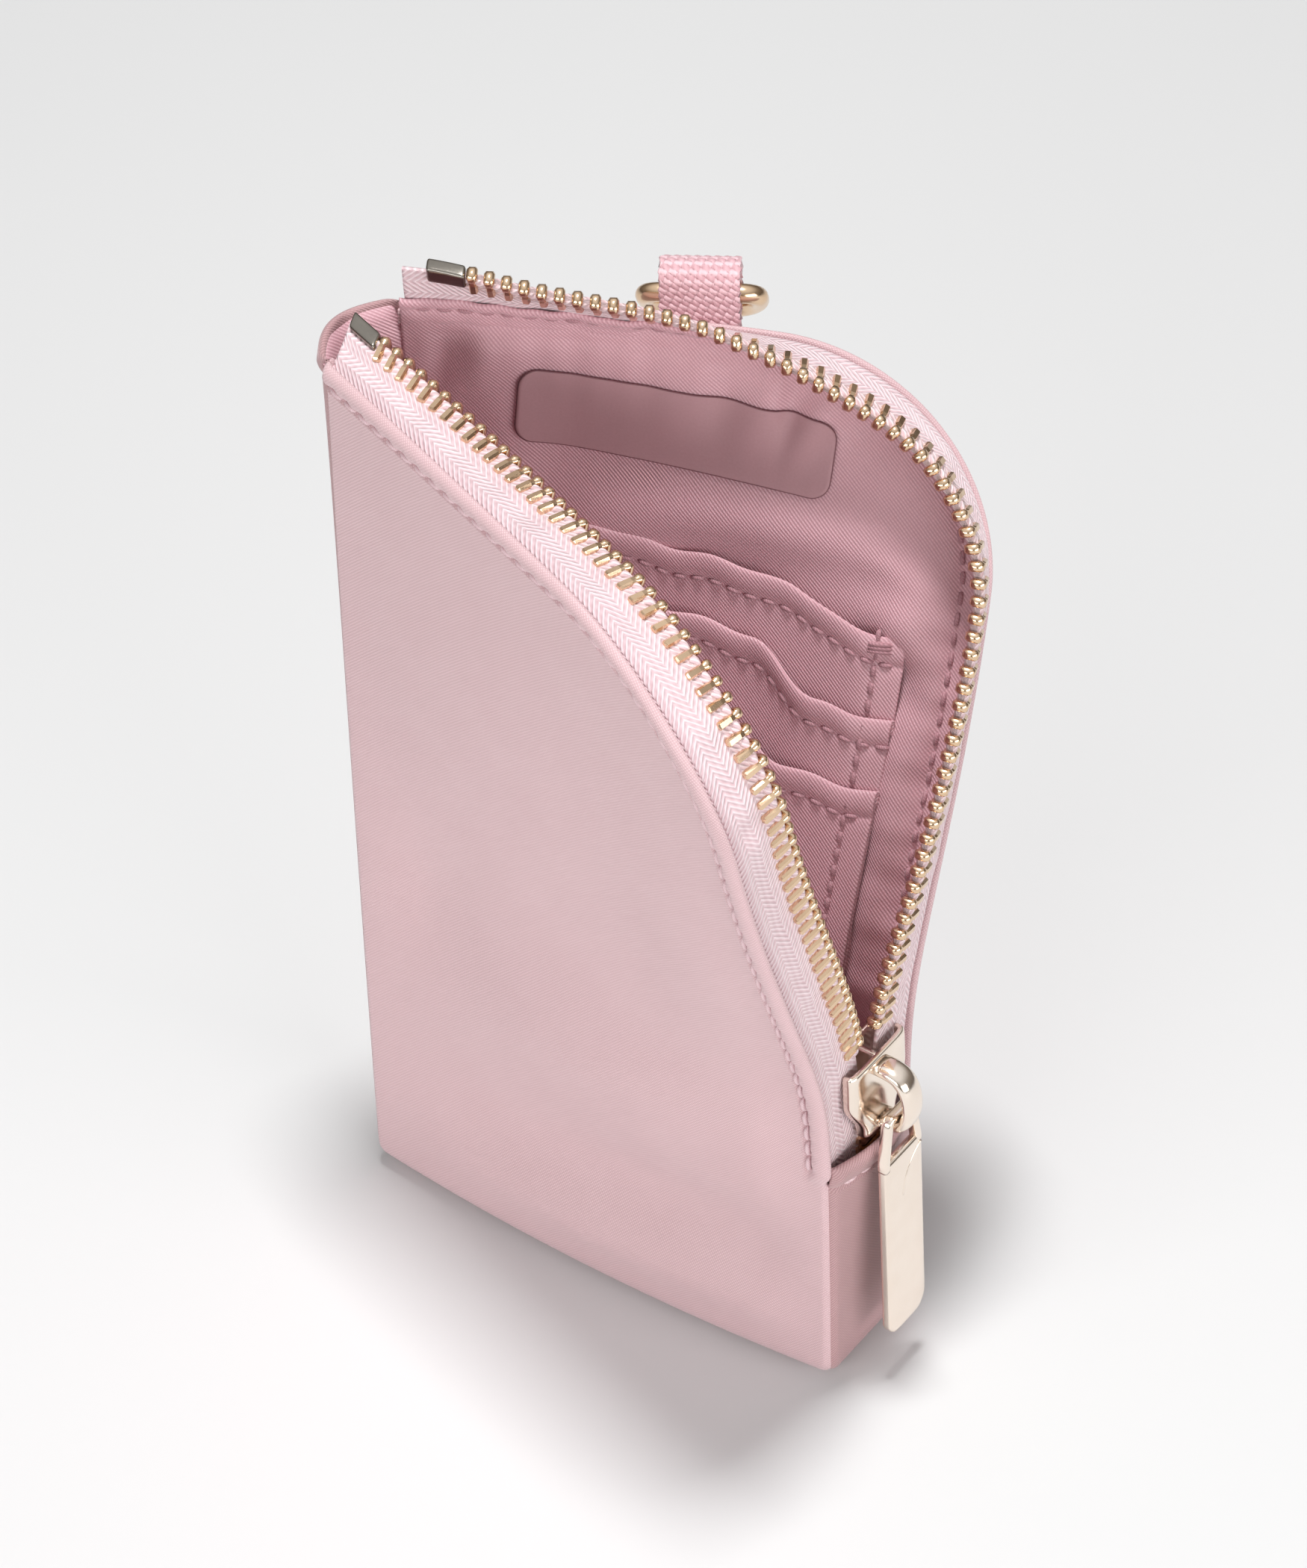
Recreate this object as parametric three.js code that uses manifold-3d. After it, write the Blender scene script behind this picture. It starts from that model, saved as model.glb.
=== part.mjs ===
// A small zip wristlet standing open: two cloth panels joined by gussets, lined and fitted with
// card pockets, a metal zip that runs along the top and down the right side, and a ring on a loop.
// Millimetres. X runs to the right across the front, Y to the back, Z up, origin under the base.
import * as THREE from 'three';
import { mergeVertices } from 'three/addons/utils/BufferGeometryUtils.js';
import loadManifold from 'manifold-3d';

const wasm = await loadManifold();
wasm.setup();

// Pouch: cut size of the two panels, the depth between them and the zip's round corner
const PANEL_WIDTH = 92;
const PANEL_HEIGHT = 168;
const POUCH_DEPTH = 23;
const CORNER_RADIUS = 35;

// How the unzipped pouch stands open: each panel swings out from the left gusset, more with height
const FRONT_SWING = THREE.MathUtils.degToRad(17);
const REAR_SWING = THREE.MathUtils.degToRad(30.5);
const FRONT_BULGE = 0.55;
const REAR_EASE = 1.15;
const SWING_START = 65;
const SWING_SOFTNESS = 0.12;
const FRONT_SAG = 7;
const REAR_SAG = 0.5;
const SIDE_LEAN = 4.5;
const TOP_PINCH = 2.3;
const LEFT_BOW = 4.8;

// Cloth layers, from the outside in, and the air left between neighbours
const PANEL_CLOTH = 0.8;
const INTERLINING = 0.8;
const LINING_CLOTH = 0.5;
const CLEARANCE = 0.3;
const SEAM_PLAY = 1.2;
const LINING_TURN = 1.8;

// Right gusset: its turned hem and the way it bows round the foot of the zip
const HEM_HEIGHT = 50;
const HEM_BAND = 4.5;
const HEM_ROLL = 0.8;
const HEM_BOW = 2.8;
const LINING_DROP = 8;

// Zip: tape, teeth and end stops
const TAPE_THICKNESS = 0.7;
const TAPE_MARGIN = 4;
const FRONT_TAPE_START = 1.3;
const REAR_TAPE_START = 3.5;
const FRONT_SKEW = 0.5;
const SKEW_RUN = 50;
const FOLD_INSET = 1.5;
const TOOTH_PITCH = 2.68;
const TOOTH_WIDTH = 1.3;
const TOOTH_LEG = 1.9;
const TOOTH_HEAD = 2.1;
const TOOTH_MESH = 1.1;
const TOOTH_HALF_THICKNESS = 1.3;
const BEAD_RADIUS = 0.8;
const STOP_LENGTH = 6.5;
const STOP_HALF_HEIGHT = 1.5;
const BOTTOM_STOP_LENGTH = 4;

// Slider, its crown and its pull
const SLIDER_LENGTH = 15;
const SLIDER_RISE = 1.2;
const SLIDER_PLATE = 1.2;
const SLIDER_FLANGE = 0.9;
const SLIDER_TRAVEL = 3;
const MOUTH_LEAD = 3;
const MOUTH_PLAY = 1.6;
const TAPE_SLOT = 1.05;
const DIAMOND_HALF_WIDTH = 0.45;
const CROWN_WIDTH = 4.2;
const CROWN_BAND = 1.9;
const CROWN_LENGTH = 13.2;
const CROWN_BEND = 2;
const PULL_LENGTH = 47;
const PULL_WIDTH = 10;
const PULL_THICKNESS = 1.8;
const PULL_NECK_WIDTH = 7.6;
const PULL_BAR = 1.6;
const PULL_RAIL = 1.4;
const EYE_LENGTH = 7.5;
const PULL_CORNER = 2.6;

// Card pockets and label on the back lining, placed by their cut edges on the panel
const POCKET_CLOTH = 0.5;
const POCKET_RIGHT = 34;
const POCKET_WIDTH = 65;
const POCKET_BOTTOM = 36;
const POCKET_TOP_MARGIN = 42;
const POCKET_STEP = 11.5;
const POCKET_SLANT = 0.08;
const LABEL_WIDTH = 48;
const LABEL_HEIGHT = 12.5;
const LABEL_CENTRE_X = -3.5;
const LABEL_TOP_MARGIN = 10;
const LABEL_RADIUS = 3;
const LABEL_THICKNESS = 0.3;

// Webbing loop and ring behind the top edge
const LOOP_CENTRE = -1;
const WEBBING_WIDTH = 12.7;
const WEBBING_THICKNESS = 1.3;
const WEBBING_TAIL = 6;
const WEBBING_RISE = 5.1;
const RING_WIRE = 3;
const RING_INSIDE_WIDTH = 13.9;
const RING_BEND = 2.6;
const RING_SIDE = 1.6;
const RING_TILT = THREE.MathUtils.degToRad(55);
const BAR_HEIGHT = 1.9;

// Mesh fineness
const THREAD_STEPS = 20;
const PANEL_COLUMNS = 8;
const PANEL_ROWS = 13;
const CORNER_STEPS = 6;
const ZIP_STEPS = 46;

// Depth of each layer below the outer face of a wall
const INTERLINING_DEPTH = PANEL_CLOTH + CLEARANCE;
const LINING_DEPTH = INTERLINING_DEPTH + INTERLINING + CLEARANCE;
const TRIM_DEPTH = LINING_DEPTH + LINING_CLOTH + CLEARANCE;
const TAPE_DEPTH = INTERLINING_DEPTH + TAPE_THICKNESS / 2;

// The closed zip spans the depth of the pouch, so its reach follows from the depth
const BEAD_REACH = POUCH_DEPTH / 2 - TAPE_DEPTH - TOOTH_MESH;
const TAPE_REACH = BEAD_REACH - TOOTH_LEG - CLEARANCE;
const CHAIN_HALF_WIDTH = TOOTH_MESH + TOOTH_LEG;

const FRONT = { side: -1, swing: FRONT_SWING, ease: 1, bulge: FRONT_BULGE, sag: FRONT_SAG };
const REAR = { side: 1, swing: REAR_SWING, ease: REAR_EASE, bulge: 0, sag: REAR_SAG };

const PINK = { panel: 0xd6b9bb, gusset: 0xcdaeb0, lining: 0x9f7278, pocket: 0xa47a80, tape: 0xecd6d8 };
const cloth = (color, roughness) => new THREE.MeshStandardMaterial({ color, roughness, metalness: 0 });
const metal = (color, roughness) => new THREE.MeshStandardMaterial({ color, roughness, metalness: 1 });

const wristlet = new THREE.Group();

function addPiece(name, geometry, material) {
  const mesh = new THREE.Mesh(geometry, material);
  mesh.name = name;
  wristlet.add(mesh);
}

// Surfaces and solids

// How far a wall has swung open at height v: nothing at the base, all at the top
function openness(v) {
  const ramp = (height) => {
    const ratio = (height - SWING_START) / (PANEL_HEIGHT - SWING_START);
    return (ratio + Math.hypot(ratio, SWING_SOFTNESS)) / 2;
  };
  return Math.max((ramp(v) - ramp(0)) / (ramp(PANEL_HEIGHT) - ramp(0)), 0);
}

// Plan position of cut point (u, v) of a wall: each weft row is straight and turns about the left edge
function planPoint(wall, u, v) {
  const open = openness(v);
  const turn = wall.swing * open ** wall.ease * (1 + wall.bulge * (1 - open));
  const reach = u + PANEL_WIDTH / 2;
  const up = v / PANEL_HEIGHT;
  const x = -PANEL_WIDTH / 2 + SIDE_LEAN * up + reach * Math.cos(turn);
  const y = POUCH_DEPTH / 2 - TOP_PINCH * up * up + reach * Math.sin(turn);
  return new THREE.Vector2(x, wall.side * y);
}

// Outer face of a wall: every warp thread keeps its length, so leaning out lowers the cloth
function wallPoint(wall, u, v) {
  const step = v / THREAD_STEPS;
  let last = planPoint(wall, u, 0);
  let rise = 0;
  for (let i = 1; i <= THREAD_STEPS; i += 1) {
    const next = planPoint(wall, u, step * i);
    rise += Math.sqrt(Math.max(step * step - next.distanceToSquared(last), 0)) * Math.sign(step);
    last = next;
  }
  const across = (u + PANEL_WIDTH / 2) / PANEL_WIDTH;
  return new THREE.Vector3(last.x, last.y, rise - wall.sag * across * (v / PANEL_HEIGHT) ** 3);
}

// Wall point with its directions across, up and in towards the compartment
function wallFrame(wall, u, v) {
  const probe = 0.25;
  const across = wallPoint(wall, u + probe, v).sub(wallPoint(wall, u - probe, v)).normalize();
  const up = wallPoint(wall, u, v + probe).sub(wallPoint(wall, u, v - probe)).normalize();
  const inward = new THREE.Vector3().crossVectors(across, up).multiplyScalar(wall.side).normalize();
  return { point: wallPoint(wall, u, v), across, up, inward };
}

function layerPoint(wall, u, v, depth) {
  const { point, inward } = wallFrame(wall, u, v);
  return point.addScaledVector(inward, depth);
}

// Closed body from vertices and triangles, turned so that its faces look out
function closedBody(points, triangles) {
  let volume = 0;
  for (const [a, b, c] of triangles) {
    volume += points[a].dot(new THREE.Vector3().crossVectors(points[b], points[c]));
  }
  const faces = volume < 0 ? triangles.map(([a, b, c]) => [a, c, b]) : triangles;
  const geometry = new THREE.BufferGeometry().setFromPoints(points);
  geometry.setIndex(faces.flat());
  geometry.computeVertexNormals();
  return geometry;
}

const quad = (a, b, c, d) => [[a, b, c], [a, c, d]];

// Closed sheet between two grids of points that face each other
function closedSheet(outer, inner) {
  const rows = outer.length;
  const columns = outer[0].length;
  const points = [...outer.flat(), ...inner.flat()];
  const near = (j, i) => j * columns + i;
  const far = (j, i) => rows * columns + j * columns + i;
  const triangles = [];
  for (let j = 0; j + 1 < rows; j += 1) {
    for (let i = 0; i + 1 < columns; i += 1) {
      triangles.push(...quad(near(j, i), near(j, i + 1), near(j + 1, i + 1), near(j + 1, i)));
      triangles.push(...quad(far(j, i), far(j + 1, i), far(j + 1, i + 1), far(j, i + 1)));
    }
  }
  for (let j = 0; j + 1 < rows; j += 1) {
    const end = columns - 1;
    triangles.push(...quad(near(j, 0), near(j + 1, 0), far(j + 1, 0), far(j, 0)));
    triangles.push(...quad(near(j, end), far(j, end), far(j + 1, end), near(j + 1, end)));
  }
  for (let i = 0; i + 1 < columns; i += 1) {
    const end = rows - 1;
    triangles.push(...quad(near(0, i), far(0, i), far(0, i + 1), near(0, i + 1)));
    triangles.push(...quad(near(end, i), near(end, i + 1), far(end, i + 1), far(end, i)));
  }
  return closedBody(points, triangles);
}

// Closed body through rings of points: capped at both ends, or joined round into a loop
function loft(rings, isLoop = false) {
  const sides = rings[0].length;
  const points = rings.flat();
  const triangles = [];
  const spans = isLoop ? rings.length : rings.length - 1;
  for (let j = 0; j < spans; j += 1) {
    const next = (j + 1) % rings.length;
    for (let i = 0; i < sides; i += 1) {
      const k = (i + 1) % sides;
      triangles.push(...quad(j * sides + i, j * sides + k, next * sides + k, next * sides + i));
    }
  }
  const end = (rings.length - 1) * sides;
  for (let i = 1; !isLoop && i + 1 < sides; i += 1) {
    triangles.push([0, i + 1, i], [end, end + i, end + i + 1]);
  }
  return closedBody(points, triangles);
}

function toSolid(geometry) {
  const bare = geometry.clone();
  bare.deleteAttribute('normal');
  bare.deleteAttribute('uv');
  const merged = mergeVertices(bare);
  const vertProperties = new Float32Array(merged.attributes.position.array);
  const triVerts = new Uint32Array(merged.index.array);
  return new wasm.Manifold(new wasm.Mesh({ numProp: 3, vertProperties, triVerts }));
}

function fromSolid(solid) {
  const { vertProperties, triVerts } = solid.getMesh();
  const geometry = new THREE.BufferGeometry();
  geometry.setAttribute('position', new THREE.BufferAttribute(new Float32Array(vertProperties), 3));
  geometry.setIndex([...triVerts]);
  geometry.computeVertexNormals();
  return geometry;
}

const join = (geometries) => fromSolid(geometries.map(toSolid).reduce((all, one) => all.add(one)));

// Even steps from one value to another, both ends included
function spaced(from, to, steps) {
  return Array.from({ length: steps + 1 }, (_, i) => from + ((to - from) * i) / steps);
}

// Plate cut to a YZ outline, from x near to x far
function sidePlate(shape, near, far) {
  const settings = { depth: far - near, bevelEnabled: false, curveSegments: 4 };
  const geometry = new THREE.ExtrudeGeometry(shape, settings);
  const turn = new THREE.Matrix4().makeBasis(
    new THREE.Vector3(0, 1, 0),
    new THREE.Vector3(0, 0, 1),
    new THREE.Vector3(1, 0, 0),
  );
  return geometry.applyMatrix4(turn).translate(near, 0, 0);
}

// Walls: panels, interlinings and linings follow one outline, each drawn in by its own insets

function rightLimit(v, inset) {
  const shoulder = PANEL_HEIGHT - CORNER_RADIUS;
  if (v <= shoulder) return PANEL_WIDTH / 2 - inset;
  const radius = CORNER_RADIUS - inset;
  return PANEL_WIDTH / 2 - CORNER_RADIUS + Math.sqrt(Math.max(radius ** 2 - (v - shoulder) ** 2, 0));
}

function outlineRows(bottom, inset) {
  const shoulder = PANEL_HEIGHT - CORNER_RADIUS;
  const straight = spaced(bottom, shoulder, PANEL_ROWS);
  const corner = spaced(0, Math.PI / 2, CORNER_STEPS).slice(1);
  return [...straight, ...corner.map((angle) => shoulder + (CORNER_RADIUS - inset) * Math.sin(angle))];
}

function wallSheet(wall, near, far, corner, inset) {
  const left = -PANEL_WIDTH / 2 + corner;
  const grid = (depth) => outlineRows(corner, inset).map((v) => (
    spaced(left, rightLimit(v, inset), PANEL_COLUMNS).map((u) => layerPoint(wall, u, v, depth))
  ));
  return closedSheet(grid(near), grid(far));
}

function addWalls() {
  const panel = cloth(PINK.panel, 0.45);
  const stiffener = cloth(0xe8e4e2, 0.9);
  const lining = cloth(PINK.lining, 0.5);
  const seamInset = FOLD_INSET + TAPE_MARGIN + SEAM_PLAY;
  const liningInset = FOLD_INSET + LINING_TURN;
  for (const [name, wall] of [['front', FRONT], ['back', REAR]]) {
    addPiece(`${name}_panel`, wallSheet(wall, 0, PANEL_CLOTH, 0, 0), panel);
    const core = INTERLINING_DEPTH + INTERLINING;
    const coreSheet = wallSheet(wall, INTERLINING_DEPTH, core, INTERLINING_DEPTH, seamInset);
    addPiece(`${name}_interlining`, coreSheet, stiffener);
    const back = LINING_DEPTH + LINING_CLOTH;
    addPiece(`${name}_lining`, wallSheet(wall, LINING_DEPTH, back, LINING_DEPTH, liningInset), lining);
  }
}

// Gussets: strips between the edges of the two walls

// Sheet between the walls at cut edge u, its faces set in from that edge by functions of (v, w)
function gussetSheet(u, rows, wallInset, outerFace, innerFace) {
  const strip = (face) => rows.map((v) => {
    const front = wallPoint(FRONT, u, v);
    const rear = wallPoint(REAR, u, v);
    front.y += wallInset;
    rear.y -= wallInset;
    const inwards = -Math.sign(u);
    return spaced(0, 1, 6).map((w) => {
      const point = front.clone().lerp(rear, w);
      point.x += inwards * face(v, w);
      return point;
    });
  });
  return closedSheet(strip(outerFace), strip(innerFace));
}

function addGussets() {
  const gusset = cloth(PINK.gusset, 0.5);
  const lining = cloth(PINK.lining, 0.5);
  const outerInset = PANEL_CLOTH + CLEARANCE;
  const half = PANEL_WIDTH / 2;
  const upright = spaced(0, PANEL_HEIGHT, 12);
  const swell = (v, w) => LEFT_BOW * Math.sin(Math.PI * w) * (v / PANEL_HEIGHT) ** 4;
  const swollen = (depth) => (v, w) => depth - swell(v, w);
  addPiece('left_gusset', gussetSheet(-half, upright, outerInset, swollen(0), swollen(PANEL_CLOTH)), gusset);
  const lined = spaced(TRIM_DEPTH, PANEL_HEIGHT - TRIM_DEPTH, 12);
  const liningFront = () => LINING_DEPTH;
  const liningBack = () => LINING_DEPTH + LINING_CLOTH;
  const leftLining = gussetSheet(-half, lined, TRIM_DEPTH, swollen(liningFront()), swollen(liningBack()));
  addPiece('left_lining', leftLining, lining);

  const bow = (v, w) => HEM_BOW * Math.sin(Math.PI * w) * (v / HEM_HEIGHT) ** 2;
  const bandFoot = HEM_HEIGHT - HEM_BAND;
  const roll = (v) => (v > bandFoot && v < HEM_HEIGHT ? HEM_ROLL : 0);
  const hemRows = [0.1, 0.35, 0.65, 0.9, 1].map((share) => bandFoot + HEM_BAND * share);
  const sideRows = [...spaced(0, bandFoot, 6), ...hemRows];
  addPiece('right_gusset', gussetSheet(half, sideRows, outerInset,
    (v, w) => -bow(v, w) - roll(v), (v, w) => PANEL_CLOTH - bow(v, w)), gusset);
  const lowRows = spaced(TRIM_DEPTH, HEM_HEIGHT - LINING_DROP, 5);
  addPiece('right_lining', gussetSheet(half, lowRows, TRIM_DEPTH, liningFront, liningBack), lining);

  const base = (inset, thickness) => (
    new THREE.BoxGeometry(PANEL_WIDTH - 2 * inset, POUCH_DEPTH - 2 * inset, thickness)
  );
  addPiece('bottom_gusset', base(outerInset, PANEL_CLOTH).translate(0, 0, PANEL_CLOTH / 2), gusset);
  const floor = base(TRIM_DEPTH, LINING_CLOTH).translate(0, 0, LINING_DEPTH + LINING_CLOTH / 2);
  addPiece('bottom_lining', floor, lining);
}

// Pockets and label lie on the back lining

function addPockets() {
  const pocket = cloth(PINK.pocket, 0.5);
  const names = ['upper_pocket', 'middle_card_pocket', 'lower_card_pocket'];
  names.forEach((name, layer) => {
    const near = TRIM_DEPTH + layer * (POCKET_CLOTH + CLEARANCE);
    const right = POCKET_RIGHT - layer * CLEARANCE;
    const left = POCKET_RIGHT - POCKET_WIDTH + layer * CLEARANCE;
    const top = PANEL_HEIGHT - POCKET_TOP_MARGIN - layer * POCKET_STEP;
    const grid = (depth) => spaced(0, 1, 7).map((share) => spaced(left, right, 6).map((u) => {
      const edge = top + POCKET_SLANT * (right - u);
      return layerPoint(REAR, u, POCKET_BOTTOM + (edge - POCKET_BOTTOM) * share, depth);
    }));
    addPiece(name, closedSheet(grid(near), grid(near + POCKET_CLOTH)), pocket);
  });
}

function addLabel() {
  const top = PANEL_HEIGHT - LABEL_TOP_MARGIN;
  const bottom = top - LABEL_HEIGHT;
  const quarter = spaced(0, Math.PI / 2, 3);
  const rounded = quarter.map((angle) => LABEL_RADIUS * (1 - Math.sin(angle)));
  const rows = [...rounded.map((drop) => bottom + drop).reverse(), ...rounded.map((drop) => top - drop)];
  const halfWidth = (v) => {
    const depth = Math.max(LABEL_RADIUS - Math.min(v - bottom, top - v), 0);
    return LABEL_WIDTH / 2 - LABEL_RADIUS + Math.sqrt(Math.max(LABEL_RADIUS ** 2 - depth ** 2, 0));
  };
  const grid = (depth) => rows.map((v) => {
    const columns = spaced(LABEL_CENTRE_X - halfWidth(v), LABEL_CENTRE_X + halfWidth(v), 6);
    return columns.map((u) => layerPoint(REAR, u, v, depth));
  });
  const label = closedSheet(grid(TRIM_DEPTH), grid(TRIM_DEPTH + LABEL_THICKNESS));
  addPiece('lining_label', label, cloth(0x9b7174, 0.7));
}

// Zip: both halves follow the panels' edges, and each tape folds over the mouth by its own angle

const TOP_RUN = PANEL_WIDTH - CORNER_RADIUS;
const CORNER_RUN = (CORNER_RADIUS * Math.PI) / 2;
const SLIDER_BOTTOM = HEM_HEIGHT + SLIDER_RISE;
const SLIDER_TOP = SLIDER_BOTTOM + SLIDER_LENGTH;
const ROW_END = TOP_RUN + CORNER_RUN + PANEL_HEIGHT - CORNER_RADIUS - SLIDER_TOP - CLEARANCE;
const TAPE_FOOT = HEM_HEIGHT - LINING_DROP + 2 * CLEARANCE;
const TAPE_END = ROW_END + SLIDER_TOP + CLEARANCE - TAPE_FOOT;

// Cut position along the zip edge at run s, with the outward direction in the panel
function edgePoint(s) {
  const half = PANEL_WIDTH / 2;
  if (s <= TOP_RUN) return { u: -half + s, v: PANEL_HEIGHT, outU: 0, outV: 1 };
  const angle = Math.min((s - TOP_RUN) / CORNER_RADIUS, Math.PI / 2);
  const outU = Math.sin(angle);
  const outV = Math.cos(angle);
  const down = Math.max(s - TOP_RUN - CORNER_RUN, 0);
  return {
    u: half - CORNER_RADIUS + CORNER_RADIUS * outU,
    v: PANEL_HEIGHT - CORNER_RADIUS + CORNER_RADIUS * outV - down,
    outU,
    outV,
  };
}

// Where each tape starts, and its fold in degrees from standing straight on, at equal shares of the open run
const smoothRun = (values) => new THREE.SplineCurve(values.map((value, i) => new THREE.Vector2(i, value)));
const FRONT_FOLDS = smoothRun([45, 92, 98, 101, 98, 94, 88, 90]);
const REAR_FOLDS = smoothRun([5, 38, 63, 109, 105, 89, 84, 84, 90]);
Object.assign(FRONT, { start: FRONT_TAPE_START, skew: FRONT_SKEW, folds: FRONT_FOLDS });
Object.assign(REAR, { start: REAR_TAPE_START, skew: 0, folds: REAR_FOLDS });

function foldAngle(wall, s) {
  const share = THREE.MathUtils.clamp(s / ROW_END, 0, 1);
  return THREE.MathUtils.degToRad(wall.folds.getPoint(share).y);
}

// Fold line of a tape at run s: the lead runs up the tape, drawn back at its start, the face is square to it
function tapeStation(wall, s) {
  const { u, v, outU, outV } = edgePoint(s);
  const { point, across, up, inward } = wallFrame(wall, u, v);
  const along = across.clone().multiplyScalar(outV).addScaledVector(up, -outU).normalize();
  const out = across.multiplyScalar(outU).addScaledVector(up, outV).normalize();
  const angle = foldAngle(wall, s);
  const slip = wall.skew * (1 - THREE.MathUtils.smoothstep(s, 0, SKEW_RUN));
  const fold = point.addScaledVector(out, -FOLD_INSET).addScaledVector(inward, TAPE_DEPTH);
  const lead = out.clone().multiplyScalar(Math.cos(angle)).addScaledVector(inward, Math.sin(angle));
  lead.addScaledVector(along, -slip).normalize();
  const face = inward.clone().multiplyScalar(Math.cos(angle)).addScaledVector(out, -Math.sin(angle));
  const bead = fold.clone().addScaledVector(lead, BEAD_REACH);
  return { fold, out, inward, lead, face, bead, angle };
}

function tapeGeometry(wall) {
  const half = TAPE_THICKNESS / 2;
  const grid = (side) => spaced(wall.start, TAPE_END, ZIP_STEPS).map((s) => {
    const { fold, out, inward, lead, face, angle } = tapeStation(wall, s);
    const mitre = inward.clone().add(face).normalize().multiplyScalar((side * half) / Math.cos(angle / 2));
    return [
      fold.clone().addScaledVector(out, -TAPE_MARGIN).addScaledVector(inward, side * half),
      fold.clone().add(mitre),
      fold.clone().addScaledVector(lead, TAPE_REACH).addScaledVector(face, side * half),
    ];
  });
  return closedSheet(grid(1), grid(-1));
}

// Runs whose beads lie at the given lengths along the row, counted from the stop's end
function beadRuns(wall) {
  const runs = spaced(wall.start + CLEARANCE, ROW_END, 8 * ZIP_STEPS);
  const lengths = [0];
  let last = tapeStation(wall, runs[0]).bead;
  for (const s of runs.slice(1)) {
    const next = tapeStation(wall, s).bead;
    lengths.push(lengths.at(-1) + next.distanceTo(last));
    last = next;
  }
  const runAt = (length) => {
    const after = Math.max(lengths.findIndex((value) => value >= length), 1);
    const share = (length - lengths[after - 1]) / (lengths[after] - lengths[after - 1]);
    return THREE.MathUtils.lerp(runs[after - 1], runs[after], share);
  };
  return { total: lengths.at(-1), runAt };
}

// Ring of a section, given as pairs of reach along the tape and height over it
function rowRing(wall, s, section) {
  const { bead, lead, face } = tapeStation(wall, s);
  return section.map(([reach, height]) => {
    const point = bead.clone().addScaledVector(lead, reach);
    return point.addScaledVector(face, height);
  });
}

const BEAD_SECTION = spaced(0, 5, 5).map((i) => {
  const angle = (Math.PI / 3) * (i - 2.5);
  return [BEAD_RADIUS * Math.cos(angle), BEAD_RADIUS * Math.sin(angle)];
});
const TOOTH_SECTION = [
  [-TOOTH_LEG, -TOOTH_HALF_THICKNESS],
  [TOOTH_HEAD / 3, -TOOTH_HALF_THICKNESS],
  [TOOTH_HEAD, -TOOTH_HALF_THICKNESS / 2],
  [TOOTH_HEAD, TOOTH_HALF_THICKNESS / 2],
  [TOOTH_HEAD / 3, TOOTH_HALF_THICKNESS],
  [-TOOTH_LEG, TOOTH_HALF_THICKNESS],
];

// Teeth clamped on the corded edge of one tape
function rowGeometry(wall) {
  const { total, runAt } = beadRuns(wall);
  const first = STOP_LENGTH + CLEARANCE + TOOTH_WIDTH;
  const count = Math.floor((total - first - TOOTH_WIDTH) / TOOTH_PITCH) + 1;
  const start = total - TOOTH_WIDTH - (count - 1) * TOOTH_PITCH;
  const rings = [rowRing(wall, runAt(STOP_LENGTH + CLEARANCE), BEAD_SECTION)];
  for (let i = 0; i < count; i += 1) {
    const centre = start + i * TOOTH_PITCH;
    const near = runAt(centre - TOOTH_WIDTH / 2);
    const far = runAt(centre + TOOTH_WIDTH / 2);
    rings.push(rowRing(wall, near, BEAD_SECTION), rowRing(wall, near, TOOTH_SECTION));
    rings.push(rowRing(wall, far, TOOTH_SECTION), rowRing(wall, far, BEAD_SECTION));
  }
  rings.push(rowRing(wall, runAt(total), BEAD_SECTION));
  return loft(rings);
}

// Folded metal clamp at the head of a row
function topStopGeometry(wall) {
  const { runAt } = beadRuns(wall);
  const softening = 0.3;
  const section = (inset) => {
    const leg = TOOTH_LEG - inset;
    const head = TOOTH_HEAD - inset;
    const height = STOP_HALF_HEIGHT - inset;
    const bevel = 2 * softening;
    return [
      [-leg, -height], [head - bevel, -height], [head, bevel - height],
      [head, height - bevel], [head - bevel, height], [-leg, height],
    ];
  };
  const places = [[0, softening], [softening, 0], [STOP_LENGTH - softening, 0], [STOP_LENGTH, softening]];
  return loft(places.map(([length, inset]) => rowRing(wall, runAt(length), section(inset))));
}

// The slider runs on the line where the two closed rows meet
const SLIDER_CENTRE = (SLIDER_BOTTOM + SLIDER_TOP) / 2;
const CHAIN_X = wallPoint(FRONT, PANEL_WIDTH / 2, SLIDER_CENTRE).x - FOLD_INSET;

// Ring of the closed chain or its stop at height z, square to the zip's line
function chainRing(z, halfWidth, halfThickness) {
  const bevel = halfThickness / 2;
  const section = [
    [halfThickness, bevel - halfWidth], [halfThickness, halfWidth - bevel], [bevel, halfWidth],
    [-bevel, halfWidth], [-halfThickness, halfWidth - bevel], [-halfThickness, bevel - halfWidth],
    [-bevel, -halfWidth], [bevel, -halfWidth],
  ];
  return section.map(([x, y]) => new THREE.Vector3(CHAIN_X + x, y, z));
}

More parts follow.
